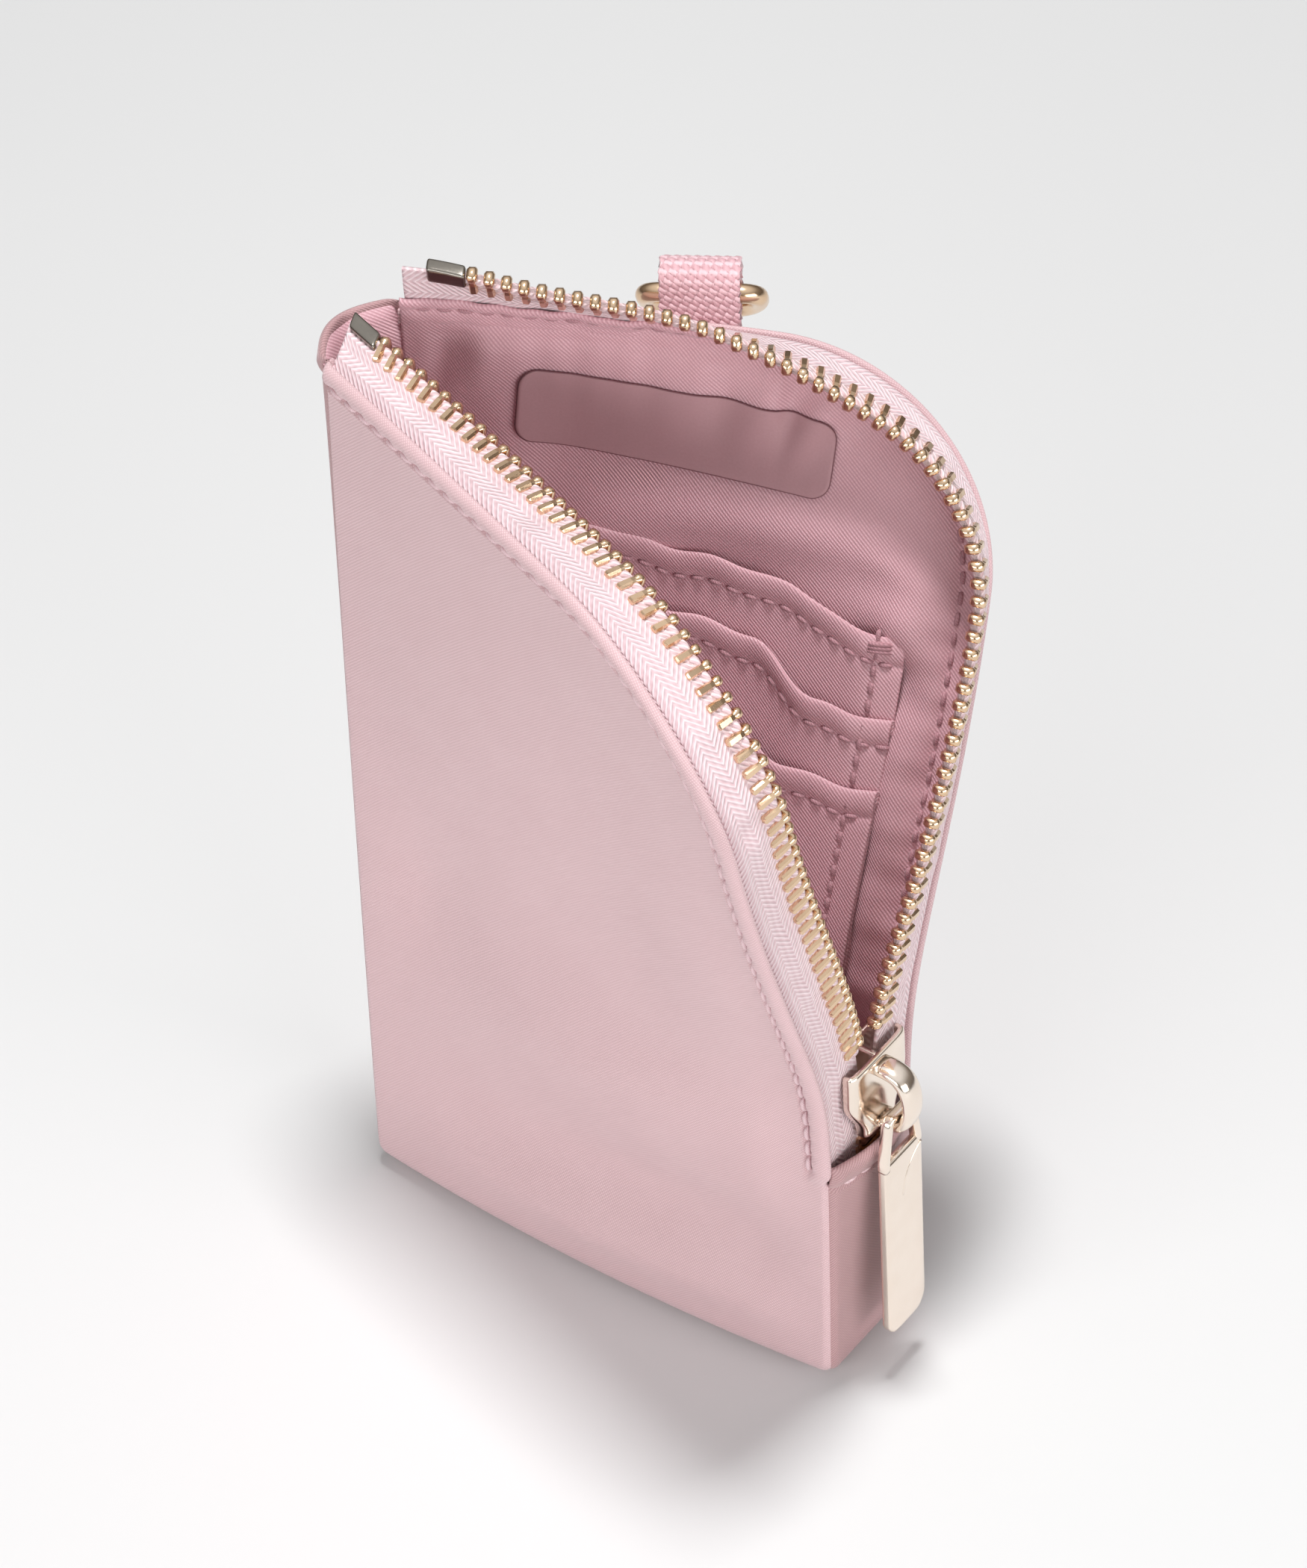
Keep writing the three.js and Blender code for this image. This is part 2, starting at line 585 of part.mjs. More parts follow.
function closedChainGeometry(foot) {
  const top = SLIDER_CENTRE - TOOTH_WIDTH;
  const count = Math.floor((top - foot) / TOOTH_PITCH);
  const rings = [chainRing(foot, BEAD_RADIUS + TOOTH_MESH, BEAD_RADIUS)];
  for (let i = 0; i < count; i += 1) {
    const near = foot + (TOOTH_PITCH - TOOTH_WIDTH) / 2 + i * TOOTH_PITCH;
    const far = near + TOOTH_WIDTH;
    rings.push(chainRing(near, BEAD_RADIUS + TOOTH_MESH, BEAD_RADIUS));
    rings.push(chainRing(near, CHAIN_HALF_WIDTH, TOOTH_HALF_THICKNESS));
    rings.push(chainRing(far, CHAIN_HALF_WIDTH, TOOTH_HALF_THICKNESS));
    rings.push(chainRing(far, BEAD_RADIUS + TOOTH_MESH, BEAD_RADIUS));
  }
  rings.push(chainRing(top, BEAD_RADIUS + TOOTH_MESH, BEAD_RADIUS));
  return loft(rings);
}

function addZip() {
  const tape = cloth(PINK.tape, 0.8);
  const gold = metal(0xd9b989, 0.2);
  const steel = metal(0xb9b3a6, 0.2);
  for (const [name, wall] of [['front', FRONT], ['rear', REAR]]) {
    addPiece(`${name}_zip_tape`, tapeGeometry(wall), tape);
    addPiece(`${name}_zip_teeth`, rowGeometry(wall), gold);
    addPiece(`${name}_top_stop`, topStopGeometry(wall), steel);
  }
  const stopFoot = TAPE_FOOT + CLEARANCE;
  const stopHead = stopFoot + BOTTOM_STOP_LENGTH;
  const stopRing = (z) => chainRing(z, CHAIN_HALF_WIDTH, TOOTH_HALF_THICKNESS);
  addPiece('bottom_stop', loft([stopRing(stopFoot), stopRing(stopHead)]), gold);
  addPiece('closed_chain', closedChainGeometry(stopHead + CLEARANCE), gold);
}

// Slider body: two plates held apart by the diamond, with flanges that leave a slot for the tape

const CHANNEL_HALF = TOOTH_HALF_THICKNESS + 2 * CLEARANCE;
const SLIDER_FACE = CHAIN_X + CHANNEL_HALF + SLIDER_PLATE;
const MOUTH_LENGTH = MOUTH_LEAD + SLIDER_TRAVEL;
const MOUTH_HALF = 2 * CHAIN_HALF_WIDTH - TOOTH_MESH + MOUTH_PLAY;
const THROAT_HALF = CHAIN_HALF_WIDTH + CLEARANCE;

// Half width of the channel inside the slider at height z
function channelHalf(z) {
  const taper = THREE.MathUtils.smoothstep(z, SLIDER_BOTTOM + SLIDER_FLANGE, SLIDER_TOP - MOUTH_LENGTH);
  return THREE.MathUtils.lerp(THROAT_HALF, MOUTH_HALF, taper);
}

function sliderBodyGeometry() {
  const round = SLIDER_FLANGE;
  const flankTop = SLIDER_TOP - round;
  const heights = spaced(SLIDER_BOTTOM + round, flankTop, 6);
  const flank = heights.map((z) => new THREE.Vector2(channelHalf(z) + SLIDER_FLANGE, z));
  const plate = new THREE.Shape();
  plate.moveTo(-THROAT_HALF, SLIDER_BOTTOM);
  plate.lineTo(THROAT_HALF, SLIDER_BOTTOM);
  flank.forEach((p) => plate.lineTo(p.x, p.y));
  plate.lineTo(MOUTH_HALF - round, SLIDER_TOP);
  plate.lineTo(round - MOUTH_HALF, SLIDER_TOP);
  [...flank].reverse().forEach((p) => plate.lineTo(-p.x, p.y));

  const flange = (side) => {
    const shape = new THREE.Shape();
    shape.setFromPoints([
      ...flank.map((p) => new THREE.Vector2(side * p.x, p.y)),
      ...[...heights].reverse().map((z) => new THREE.Vector2(side * channelHalf(z), z)),
    ]);
    return shape;
  };
  const diamond = new THREE.Shape();
  diamond.moveTo(0, SLIDER_TOP - MOUTH_LENGTH);
  diamond.lineTo(DIAMOND_HALF_WIDTH, SLIDER_TOP - MOUTH_LENGTH / 2);
  diamond.lineTo(DIAMOND_HALF_WIDTH, SLIDER_TOP);
  diamond.lineTo(-DIAMOND_HALF_WIDTH, SLIDER_TOP);
  diamond.lineTo(-DIAMOND_HALF_WIDTH, SLIDER_TOP - MOUTH_LENGTH / 2);

  const innerFace = CHAIN_X - CHANNEL_HALF - SLIDER_PLATE;
  const pieces = [
    sidePlate(diamond, innerFace, SLIDER_FACE),
    sidePlate(plate, CHAIN_X + CHANNEL_HALF, SLIDER_FACE),
    sidePlate(plate, innerFace, CHAIN_X - CHANNEL_HALF),
  ];
  for (const side of [1, -1]) {
    const root = CHANNEL_HALF + SLIDER_PLATE / 2;
    pieces.push(sidePlate(flange(side), CHAIN_X + TAPE_SLOT, CHAIN_X + root));
    pieces.push(sidePlate(flange(side), CHAIN_X - root, CHAIN_X - TAPE_SLOT));
  }
  return join(pieces);
}

// The pull hangs clear of the bowed hem, so its bar sits that far out
const HEM_FACE = wallPoint(FRONT, PANEL_WIDTH / 2, HEM_HEIGHT).x + HEM_BOW + HEM_ROLL;
const PIVOT_X = HEM_FACE + CLEARANCE + PULL_THICKNESS / 2;
const CROWN_FOOT = SLIDER_CENTRE - CROWN_LENGTH / 2;
const BAR_SWEEP = Math.hypot(PULL_BAR, PULL_THICKNESS) / 2;
const PIVOT_Z = CROWN_FOOT + CROWN_BAND + CROWN_BEND / 2 + BAR_SWEEP / 2 + CLEARANCE;

// Crown: an arch over the slider's face, with the pull's bar under it
function crownGeometry() {
  const seat = SLIDER_FACE + CLEARANCE / 10;
  const inner = PIVOT_X + BAR_SWEEP + CLEARANCE;
  const outer = inner + CROWN_BAND;
  const top = CROWN_FOOT + CROWN_LENGTH;
  const arch = (reach, foot, head, bend) => {
    const path = new THREE.Path();
    path.moveTo(seat, foot);
    path.lineTo(reach - bend, foot);
    path.absarc(reach - bend, foot + bend, bend, -Math.PI / 2, 0, false);
    path.absarc(reach - bend, head - bend, bend, 0, Math.PI / 2, false);
    path.lineTo(seat, head);
    return path.getPoints(5);
  };
  const shape = new THREE.Shape();
  const outside = arch(outer, CROWN_FOOT, top, CROWN_BEND + CROWN_BAND);
  const inside = arch(inner, CROWN_FOOT + CROWN_BAND, top - CROWN_BAND, CROWN_BEND).reverse();
  shape.setFromPoints([...outside, ...inside]);
  const geometry = new THREE.ExtrudeGeometry(shape, { depth: CROWN_WIDTH, bevelEnabled: false });
  const turn = new THREE.Matrix4().makeBasis(
    new THREE.Vector3(1, 0, 0),
    new THREE.Vector3(0, 0, 1),
    new THREE.Vector3(0, -1, 0),
  );
  return geometry.applyMatrix4(turn).translate(0, CROWN_WIDTH / 2, 0);
}

// Pull: a flat drop with a tapered neck and an open eye round the crown
function pullGeometry() {
  const half = PULL_WIDTH / 2;
  const neck = PULL_NECK_WIDTH / 2;
  const top = PIVOT_Z + PULL_BAR / 2;
  const foot = top - PULL_LENGTH;
  const eyeTop = PIVOT_Z - PULL_BAR / 2;
  const eyeFoot = eyeTop - EYE_LENGTH;
  const shoulder = eyeFoot - PULL_RAIL;
  const shape = new THREE.Shape();
  shape.moveTo(-half + PULL_CORNER, foot);
  shape.lineTo(half - PULL_CORNER, foot);
  shape.absarc(half - PULL_CORNER, foot + PULL_CORNER, PULL_CORNER, -Math.PI / 2, 0, false);
  shape.lineTo(half, shoulder);
  shape.lineTo(neck, top - PULL_BAR / 3);
  shape.lineTo(neck - PULL_BAR / 3, top);
  shape.lineTo(PULL_BAR / 3 - neck, top);
  shape.lineTo(-neck, top - PULL_BAR / 3);
  shape.lineTo(-half, shoulder);
  shape.lineTo(-half, foot + PULL_CORNER);
  shape.absarc(-half + PULL_CORNER, foot + PULL_CORNER, PULL_CORNER, Math.PI, 1.5 * Math.PI, false);
  const eye = new THREE.Path();
  eye.moveTo(neck - PULL_RAIL, eyeTop);
  eye.lineTo(half - PULL_RAIL, eyeFoot);
  eye.lineTo(PULL_RAIL - half, eyeFoot);
  eye.lineTo(PULL_RAIL - neck, eyeTop);
  shape.holes.push(eye);
  return sidePlate(shape, PIVOT_X - PULL_THICKNESS / 2, PIVOT_X + PULL_THICKNESS / 2);
}

function addSlider() {
  const gold = metal(0xe6d3b8, 0.15);
  addPiece('slider_body', sliderBodyGeometry(), gold);
  addPiece('slider_crown', crownGeometry(), gold);
  addPiece('pull_tab', pullGeometry(), gold);
}

// Loop and ring behind the top edge, drawn outwards from the panel (p) and upwards from its edge (q)

const LOOP_GAP = 2 * CLEARANCE;
const LOOP_INNER = RING_WIRE / 2 + CLEARANCE;
const LOOP_MIDDLE = LOOP_GAP + WEBBING_THICKNESS + LOOP_INNER;

function loopFrame() {
  const { point, up, inward } = wallFrame(REAR, LOOP_CENTRE, PANEL_HEIGHT);
  const outwards = inward.negate();
  const along = new THREE.Vector3().crossVectors(outwards, up).normalize();
  return new THREE.Matrix4().makeBasis(outwards, up, along).setPosition(point);
}

// Strip of even thickness along a line of points
function stripShape(points, thickness) {
  const side = (sign) => points.map((point, i) => {
    const before = points[Math.max(i - 1, 0)];
    const after = points[Math.min(i + 1, points.length - 1)];
    const back = point.clone().sub(before).normalize();
    const ahead = after.clone().sub(point).normalize();
    const along = back.add(ahead).normalize();
    const stretch = 1 / Math.max(along.dot(i > 0 ? point.clone().sub(before).normalize() : along), 0.5);
    return new THREE.Vector2(-along.y, along.x).multiplyScalar((sign * stretch * thickness) / 2).add(point);
  });
  return new THREE.Shape().setFromPoints([...side(1), ...side(-1).reverse()]);
}

function webbingGeometry() {
  const bend = LOOP_INNER + WEBBING_THICKNESS / 2;
  const front = LOOP_GAP + WEBBING_THICKNESS / 2;
  const rear = front + WEBBING_THICKNESS + CLEARANCE;
  const crown = BAR_HEIGHT + WEBBING_RISE - bend;
  const over = spaced(Math.PI, 0, 8).map((angle) => new THREE.Vector2(
    LOOP_MIDDLE + bend * Math.cos(angle),
    crown + bend * Math.sin(angle),
  ));
  const line = [
    new THREE.Vector2(front, -WEBBING_TAIL),
    ...over,
    new THREE.Vector2(LOOP_MIDDLE + bend, BAR_HEIGHT - RING_WIRE / 2),
    new THREE.Vector2(rear, BAR_HEIGHT - RING_WIRE - LOOP_INNER),
    new THREE.Vector2(rear, -WEBBING_TAIL),
  ];
  const shape = stripShape(line, WEBBING_THICKNESS);
  const geometry = new THREE.ExtrudeGeometry(shape, { depth: WEBBING_WIDTH, bevelEnabled: false });
  return geometry.translate(0, 0, -WEBBING_WIDTH / 2).applyMatrix4(loopFrame());
}

// D-shaped ring: a straight bar through the loop and a round bow hanging below it
function ringGeometry() {
  const half = RING_INSIDE_WIDTH / 2 + RING_WIRE / 2;
  const path = [];
  const bow = half - RING_BEND;
  const corner = (sign, from, to) => spaced(from, to, 4).map((angle) => new THREE.Vector2(
    sign * (bow + RING_BEND * Math.cos(angle)),
    RING_BEND * (Math.sin(angle) - 1),
  ));
  path.push(...corner(-1, 0, Math.PI / 2), ...corner(1, Math.PI / 2, 0));
  const drop = -RING_BEND - RING_SIDE;
  path.push(...spaced(0, -Math.PI, 14).map((angle) => (
    new THREE.Vector2(half * Math.cos(angle), drop + half * Math.sin(angle)))));
  const sides = 8;
  const rings = path.map((point, i) => {
    const before = path[(i + path.length - 1) % path.length];
    const after = path[(i + 1) % path.length];
    const along = after.clone().sub(before).normalize();
    const out = new THREE.Vector2(along.y, -along.x);
    return spaced(0, sides - 1, sides - 1).map((k) => {
      const angle = (2 * Math.PI * k) / sides;
      const reach = (RING_WIRE / 2) * Math.cos(angle);
      const proud = (RING_WIRE / 2) * Math.sin(angle);
      return new THREE.Vector3(proud, point.y + out.y * reach, point.x + out.x * reach);
    });
  });
  const tilt = new THREE.Matrix4().makeRotationZ(RING_TILT);
  const place = new THREE.Matrix4().makeTranslation(LOOP_MIDDLE, BAR_HEIGHT, 0);
  return loft(rings, true).applyMatrix4(tilt).applyMatrix4(place).applyMatrix4(loopFrame());
}

function addRing() {
  addPiece('webbing_loop', webbingGeometry(), cloth(0xd1a0a6, 0.6));
  addPiece('d_ring', ringGeometry(), metal(0xdcc39c, 0.15));
}

addWalls();
addGussets();
addPockets();
addLabel();
addZip();
addSlider();
addRing();

export default wristlet;
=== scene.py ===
# %% [markdown]
# # A small zip wristlet that stands open
# The real one is sewn from pale pink satin twill: two panels, three gussets, a lining with card
# pockets, and a metal zip that runs along the top and down the right side. The rigid model already
# holds every joint and every size, so it is loaded first and each new piece is fitted round it.

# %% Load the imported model
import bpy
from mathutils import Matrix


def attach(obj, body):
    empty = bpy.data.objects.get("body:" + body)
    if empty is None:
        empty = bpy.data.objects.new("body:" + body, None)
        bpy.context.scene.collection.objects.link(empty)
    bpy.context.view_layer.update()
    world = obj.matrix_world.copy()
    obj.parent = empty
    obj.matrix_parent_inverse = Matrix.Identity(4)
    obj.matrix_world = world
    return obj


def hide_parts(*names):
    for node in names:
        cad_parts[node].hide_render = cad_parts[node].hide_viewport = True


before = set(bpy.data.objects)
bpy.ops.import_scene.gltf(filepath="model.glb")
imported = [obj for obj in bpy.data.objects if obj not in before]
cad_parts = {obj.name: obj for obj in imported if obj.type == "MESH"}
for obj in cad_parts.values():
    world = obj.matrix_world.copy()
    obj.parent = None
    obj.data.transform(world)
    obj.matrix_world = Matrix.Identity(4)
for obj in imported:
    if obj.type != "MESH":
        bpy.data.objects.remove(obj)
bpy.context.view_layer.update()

from types import SimpleNamespace

import bpy
import numpy as np
from mathutils import Matrix

MM = 0.001

# %% [markdown]
# ## Where the photographer stood
# The camera is worked out once, from corners whose places on the pouch are known. It looks down by
# about 42 degrees and is rolled a little, so the matrix is built from three square directions
# instead of from angles.

# %% Camera
EYE = np.array([430.527, -533.939, 713.785])
AIM = np.array([-0.642, 11.551, 88.527])
ROLL = np.radians(-3.578)
LENS = 139.1


def unit(vectors):
    """Vectors divided by their own lengths."""
    return vectors / np.linalg.norm(vectors, axis=-1, keepdims=True)


def rolled_view(eye, aim, roll):
    """Camera matrix: its right and up are the level ones, turned about the line of sight by roll."""
    ahead = unit(aim - eye)
    level = unit(np.cross(ahead, [0.0, 0.0, 1.0]))
    above = np.cross(level, ahead)
    matrix = np.eye(4)
    matrix[:3, 0] = np.cos(roll) * level + np.sin(roll) * above
    matrix[:3, 1] = np.cos(roll) * above - np.sin(roll) * level
    matrix[:3, 2] = -ahead
    matrix[:3, 3] = eye * MM
    return Matrix(matrix.tolist())


scene = bpy.context.scene
camera = bpy.data.objects.new("camera", bpy.data.cameras.new("camera"))
camera.data.lens = LENS
camera.matrix_world = rolled_view(EYE, AIM, ROLL)
scene.collection.objects.link(camera)
scene.camera = camera
scene.view_settings.view_transform = "Standard"
print("camera at", [round(x) for x in EYE], "mm")

# %% [markdown]
# ## Writing shaders as sums
# A weave is a formula, so it reads best as one. The class below holds one output socket of a node
# tree. Adding or multiplying two of them adds a Math node, and `node` adds any other node.


# %% Shader arithmetic
class Shade:
    """A value in a node tree; arithmetic on it adds Math nodes."""

    def __init__(self, tree, socket=None):
        self.tree = tree
        self.socket = socket

    def node(self, kind, settings=None, sockets=None, out=0):
        """Adds a node, sets its settings first, then gives its sockets values or links."""
        made = self.tree.nodes.new("ShaderNode" + kind)
        for key, value in (settings or {}).items():
            if key == "stops":
                made.color_ramp.elements[0].position, made.color_ramp.elements[0].color = value[0]
                made.color_ramp.elements[1].position, made.color_ramp.elements[1].color = value[-1]
                for place, colour in value[1:-1]:
                    made.color_ramp.elements.new(place).color = colour
            else:
                setattr(made, key, value)
        for key, value in (sockets or {}).items():
            if isinstance(value, Shade):
                self.tree.links.new(value.socket, made.inputs[key])
            else:
                made.inputs[key].default_value = value
        return Shade(self.tree, made.outputs[out])

    def out(self, key):
        """Another output of the node that this value comes from."""
        return Shade(self.tree, self.socket.node.outputs[key])

    def math(self, operation, *values):
        """Adds a Math node for an operation on values."""
        return self.node("Math", {"operation": operation}, dict(enumerate(values)))

    def mix(self, a, b):
        """Colour a where this value is 0 and colour b where it is 1."""
        return self.node("Mix", {"data_type": "RGBA"}, {0: self, 6: a, 7: b}, out=2)

    def clip(self):
        """This value held between 0 and 1."""
        return self.node("Clamp", None, {0: self})

    def __add__(self, other):
        return self.math("ADD", self, other)

    def __sub__(self, other):
        return self.math("SUBTRACT", self, other)

    def __mul__(self, other):
        return self.math("MULTIPLY", self, other)

    def __truediv__(self, other):
        return self.math("DIVIDE", self, other)

    def __radd__(self, other):
        return self.math("ADD", other, self)

    def __rsub__(self, other):
        return self.math("SUBTRACT", other, self)

    def __rmul__(self, other):
        return self.math("MULTIPLY", other, self)


def ink(red, green, blue):
    """Linear colour of a screen colour given in parts of 255."""
    screen = np.array([red, green, blue]) / 255
    linear = np.where(screen <= 0.04045, screen / 12.92, ((screen + 0.055) / 1.055) ** 2.4)
    return (*linear.tolist(), 1.0)


def new_finish(name, **constants):
    """A material, its Principled shader with even values set on it, and a Shade of its tree."""
    material = bpy.data.materials.new(name)
    material.use_nodes = True
    shader = material.node_tree.nodes["Principled BSDF"]
    for key, value in constants.items():
        shader.inputs[key.replace("_", " ")].default_value = value
    return material, shader, Shade(material.node_tree)


def feed(shader, **values):
    """Links values to a shader's sockets, named with underscores for spaces."""
    for key, value in values.items():
        value.tree.links.new(value.socket, shader.inputs[key.replace("_", " ")])


def rise_and_fall(phase):
    """A wave from 0 to 1 that repeats each time phase grows by one: half of 1 plus its sine."""
    return phase.math("SINE", phase * (2 * np.pi)) * 0.5 + 0.5


print("shader arithmetic ready")

# %% [markdown]
# ## Floor and light
# A product photograph like this one is lit from overhead, a little behind the object, with softer
# lights low at the front and at the side to lift the shadows. Three softboxes and a weak even world
# give that. The camera sees a pale room, and polished metal sees the same room with its lower half
# darkened, because a mirror needs something dark to show its shape.

# %% Stage
FLOOR_HALF = 3.0
FLOOR_DROP = 0.05 * MM
PALE = ink(236, 236, 236)
MIRRORED_ROOM = [(0.0, ink(96, 88, 82)), (0.4, ink(140, 133, 126)), (0.8, PALE)]
FILL_STRENGTH = 0.24
SOFTBOX_AIM = np.array([0.0, 0.0, 80.0])
SOFTBOXES = [("overhead_softbox", 14.5, (0.2, 0.2), (0.03, 0.06, 1.4)),
             ("front_softbox", 6.3, (1.1, 0.4), (0.0, -1.1, 0.45)),
             ("side_softbox", 6.2, (1.0, 0.4), (1.1, -0.2, 0.34))]


def flat_floor(half, height):
    """One level square, half a side each way from the middle."""
    corners = np.array([[-1, -1], [1, -1], [1, 1], [-1, 1]]) * half
    mesh = bpy.data.meshes.new("floor")
    mesh.from_pydata(np.column_stack([corners, np.full(4, height)]).tolist(), [], [[0, 1, 2, 3]])
    floor = bpy.data.objects.new("floor", mesh)
    scene.collection.objects.link(floor)
    return floor


floor_finish, floor_shader, floor_shade = new_finish("pale_paper", Roughness=0.9, Specular_IOR_Level=0.1)
floor_place = floor_shade.node("TexCoord", None, None, "Object")
paper = floor_shade.node("TexNoise", None, {"Vector": floor_place, "Scale": 3.0, "Detail": 2.0})
feed(floor_shader, Base_Color=paper.mix(ink(223, 223, 223), ink(226, 226, 226)))
floor = flat_floor(FLOOR_HALF, -FLOOR_DROP)
floor.data.materials.append(floor_finish)

world = bpy.data.worlds.new("studio")
world.use_nodes = True
scene.world = world
sky = Shade(world.node_tree)
path = sky.node("LightPath")
seen = path.out("Is Camera Ray") + path.out("Is Glossy Ray") + path.out("Is Transmission Ray")
lit = (FILL_STRENGTH, FILL_STRENGTH, FILL_STRENGTH, 1.0)
height = sky.node("SeparateXYZ", None, {0: sky.node("TexCoord", None, None, "Generated")}).out("Z")
mirrored = sky.node("ValToRGB", {"stops": MIRRORED_ROOM}, {0: height})
room = path.out("Is Camera Ray").mix(mirrored, PALE)
backing = world.node_tree.nodes["Background"]
world.node_tree.links.new(seen.clip().mix(lit, room).socket, backing.inputs["Color"])


def add_softbox(name, power, size, place):
    """A flat lamp of a power in watts, with its size and place in metres, that faces the pouch."""
    lamp = bpy.data.lights.new(name, "AREA")
    lamp.shape = "RECTANGLE"
    lamp.energy = power
    lamp.size, lamp.size_y = size
    softbox = bpy.data.objects.new(name, lamp)
    softbox.matrix_world = rolled_view(np.array(place) / MM, SOFTBOX_AIM, 0.0)
    scene.collection.objects.link(softbox)


for softbox in SOFTBOXES:
    add_softbox(*softbox)
print("floor, world and softboxes of", *[softbox[1] for softbox in SOFTBOXES], "watts")

# %% [markdown]
# ## Cloth that swings open
# Each wall is a woven net. A weft row stays straight in plan and turns about the left edge, a warp
# thread keeps its length and sinks as it leans out. One function of the cut position (u across,
# v up, both in mm) gives the wall, so panel, lining, pockets and zip all follow the same cloth.

# %% Wall model
PANEL_WIDTH, PANEL_HEIGHT, POUCH_DEPTH, CORNER_RADIUS = 92.0, 168.0, 23.0, 35.0
SWING_START, SWING_SOFTNESS = 65.0, 0.12
SIDE_LEAN, TOP_PINCH = 4.5, 2.3
THREAD_STEPS = 20
HALF = PANEL_WIDTH / 2
FRONT = SimpleNamespace(side=-1, swing=np.radians(17.0), ease=1.0, bulge=0.55, sag=7.0)
REAR = SimpleNamespace(side=1, swing=np.radians(30.5), ease=1.15, bulge=0.0, sag=0.5)


def openness(v):
    """How far a row has swung, 0 at the base and 1 at the top: a soft ramp from the swing's start."""
    def ramp(height):
        q = (height - SWING_START) / (PANEL_HEIGHT - SWING_START)
        return (q + np.hypot(q, SWING_SOFTNESS)) / 2
    return np.maximum((ramp(v) - ramp(0)) / (ramp(PANEL_HEIGHT) - ramp(0)), 0)


def wall_point(wall, u, v):
    """Outer face of a wall: the row turns about the left edge, and the thread's length sets the height."""
    u, v = np.broadcast_arrays(np.asarray(u, float), np.asarray(v, float))
    height = v[..., None] * np.linspace(0, 1, THREAD_STEPS + 1)
    opened = openness(height)
    turn = wall.swing * opened ** wall.ease * (1 + wall.bulge * (1 - opened))
    reach = u[..., None] + HALF
    up = height / PANEL_HEIGHT
    x = -HALF + SIDE_LEAN * up + reach * np.cos(turn)
    y = wall.side * (POUCH_DEPTH / 2 - TOP_PINCH * up * up + reach * np.sin(turn))
    step = v[..., None] / THREAD_STEPS
    level = np.diff(x, axis=-1) ** 2 + np.diff(y, axis=-1) ** 2
    rise = (np.sqrt(np.maximum(step ** 2 - level, 0)) * np.sign(step)).sum(-1)
    sag = wall.sag * (u + HALF) / PANEL_WIDTH * (v / PANEL_HEIGHT) ** 3
    return np.stack([x[..., -1], y[..., -1], rise - sag], -1)


def wall_frame(wall, u, v, probe=0.25):
    """A wall's point and its directions across, up and inward, from differences a little to each side."""
    across = unit(wall_point(wall, u + probe, v) - wall_point(wall, u - probe, v))
    up = unit(wall_point(wall, u, v + probe) - wall_point(wall, u, v - probe))
    inward = unit(wall.side * np.cross(across, up))
    return wall_point(wall, u, v), across, up, inward


def layer(wall, u, v, depth):
    """Points at a depth behind a wall's outer face, along its inward direction."""
    point, _, _, inward = wall_frame(wall, u, v)
    return point + inward * np.asarray(depth)[..., None]


print("front wall top right at", wall_point(FRONT, HALF, PANEL_HEIGHT - CORNER_RADIUS).round(1), "mm")

# %% [markdown]
# ## From grids to meshes
# Every new piece is a grid of points or a set of rings. These helpers turn grids into one mesh, put
# the cut position into a UV map so that a weave follows the cloth, and hand the piece to its body.

# %% Mesh helpers
CLOTH_THICKNESS, THIN_CLOTH = 0.4, 0.3


def grid_quads(rows, columns, wrap=False):
    """Quads of a grid of points; with wrap the last column joins the first."""
    row = np.arange(rows - 1)[:, None] * columns
    column = np.arange(columns if wrap else columns - 1)
    after = (column + 1) % columns
    corners = [row + column, row + after, row + columns + after, row + columns + column]
    return np.stack([corner.ravel() for corner in corners], 1)


def add_piece(name, points, quads, finish, slot, nodes=(), body="pouch", cloth=None,
              thickness=0, offset=-1):
    """Mesh from points in mm, with the cut position as its UV map; thickness adds a Solidify."""
    mesh = bpy.data.meshes.new(name)
    mesh.from_pydata((points * MM).tolist(), [], quads.tolist())
    if cloth is not None:
        mesh.uv_layers.new(name="cloth").data.foreach_set("uv", cloth[quads.ravel()].ravel())
    mesh.shade_smooth()
    mesh.materials.append(finish)
    piece = bpy.data.objects.new(name, mesh)
    scene.collection.objects.link(piece)
    if thickness:
        wall = piece.modifiers.new("thickness", "SOLIDIFY")
        wall.thickness = thickness * MM
        wall.offset = offset
    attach(piece, body)
    if nodes:
        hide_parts(*nodes)
    print(f"{name}: {len(points)} points, {len(quads)} faces")
    return piece


def join_grids(grids):
    """Several (points, cut positions, flip) grids as one list of points, cut positions and quads."""
    points, cloth, quads, count = [], [], [], 0
    for place, cut, flip in grids:
        rows, columns = place.shape[:2]
        faces = grid_quads(rows, columns) + count
        points.append(place.reshape(-1, 3))
        cloth.append(cut.reshape(-1, 2))
        quads.append(faces[:, ::-1] if flip else faces)
        count += rows * columns
    return np.concatenate(points), np.concatenate(cloth), np.concatenate(quads)


def add_cloth(name, grids, finish, slot, nodes=(), thickness=CLOTH_THICKNESS, offset=-1):
    """A thickened sheet of cloth made of (points, cut positions, flip) grids."""
    points, cloth, quads = join_grids(grids)
    return add_piece(name, points, quads, finish, slot, nodes, cloth=cloth, thickness=thickness,
                     offset=offset)


print("mesh helpers ready")
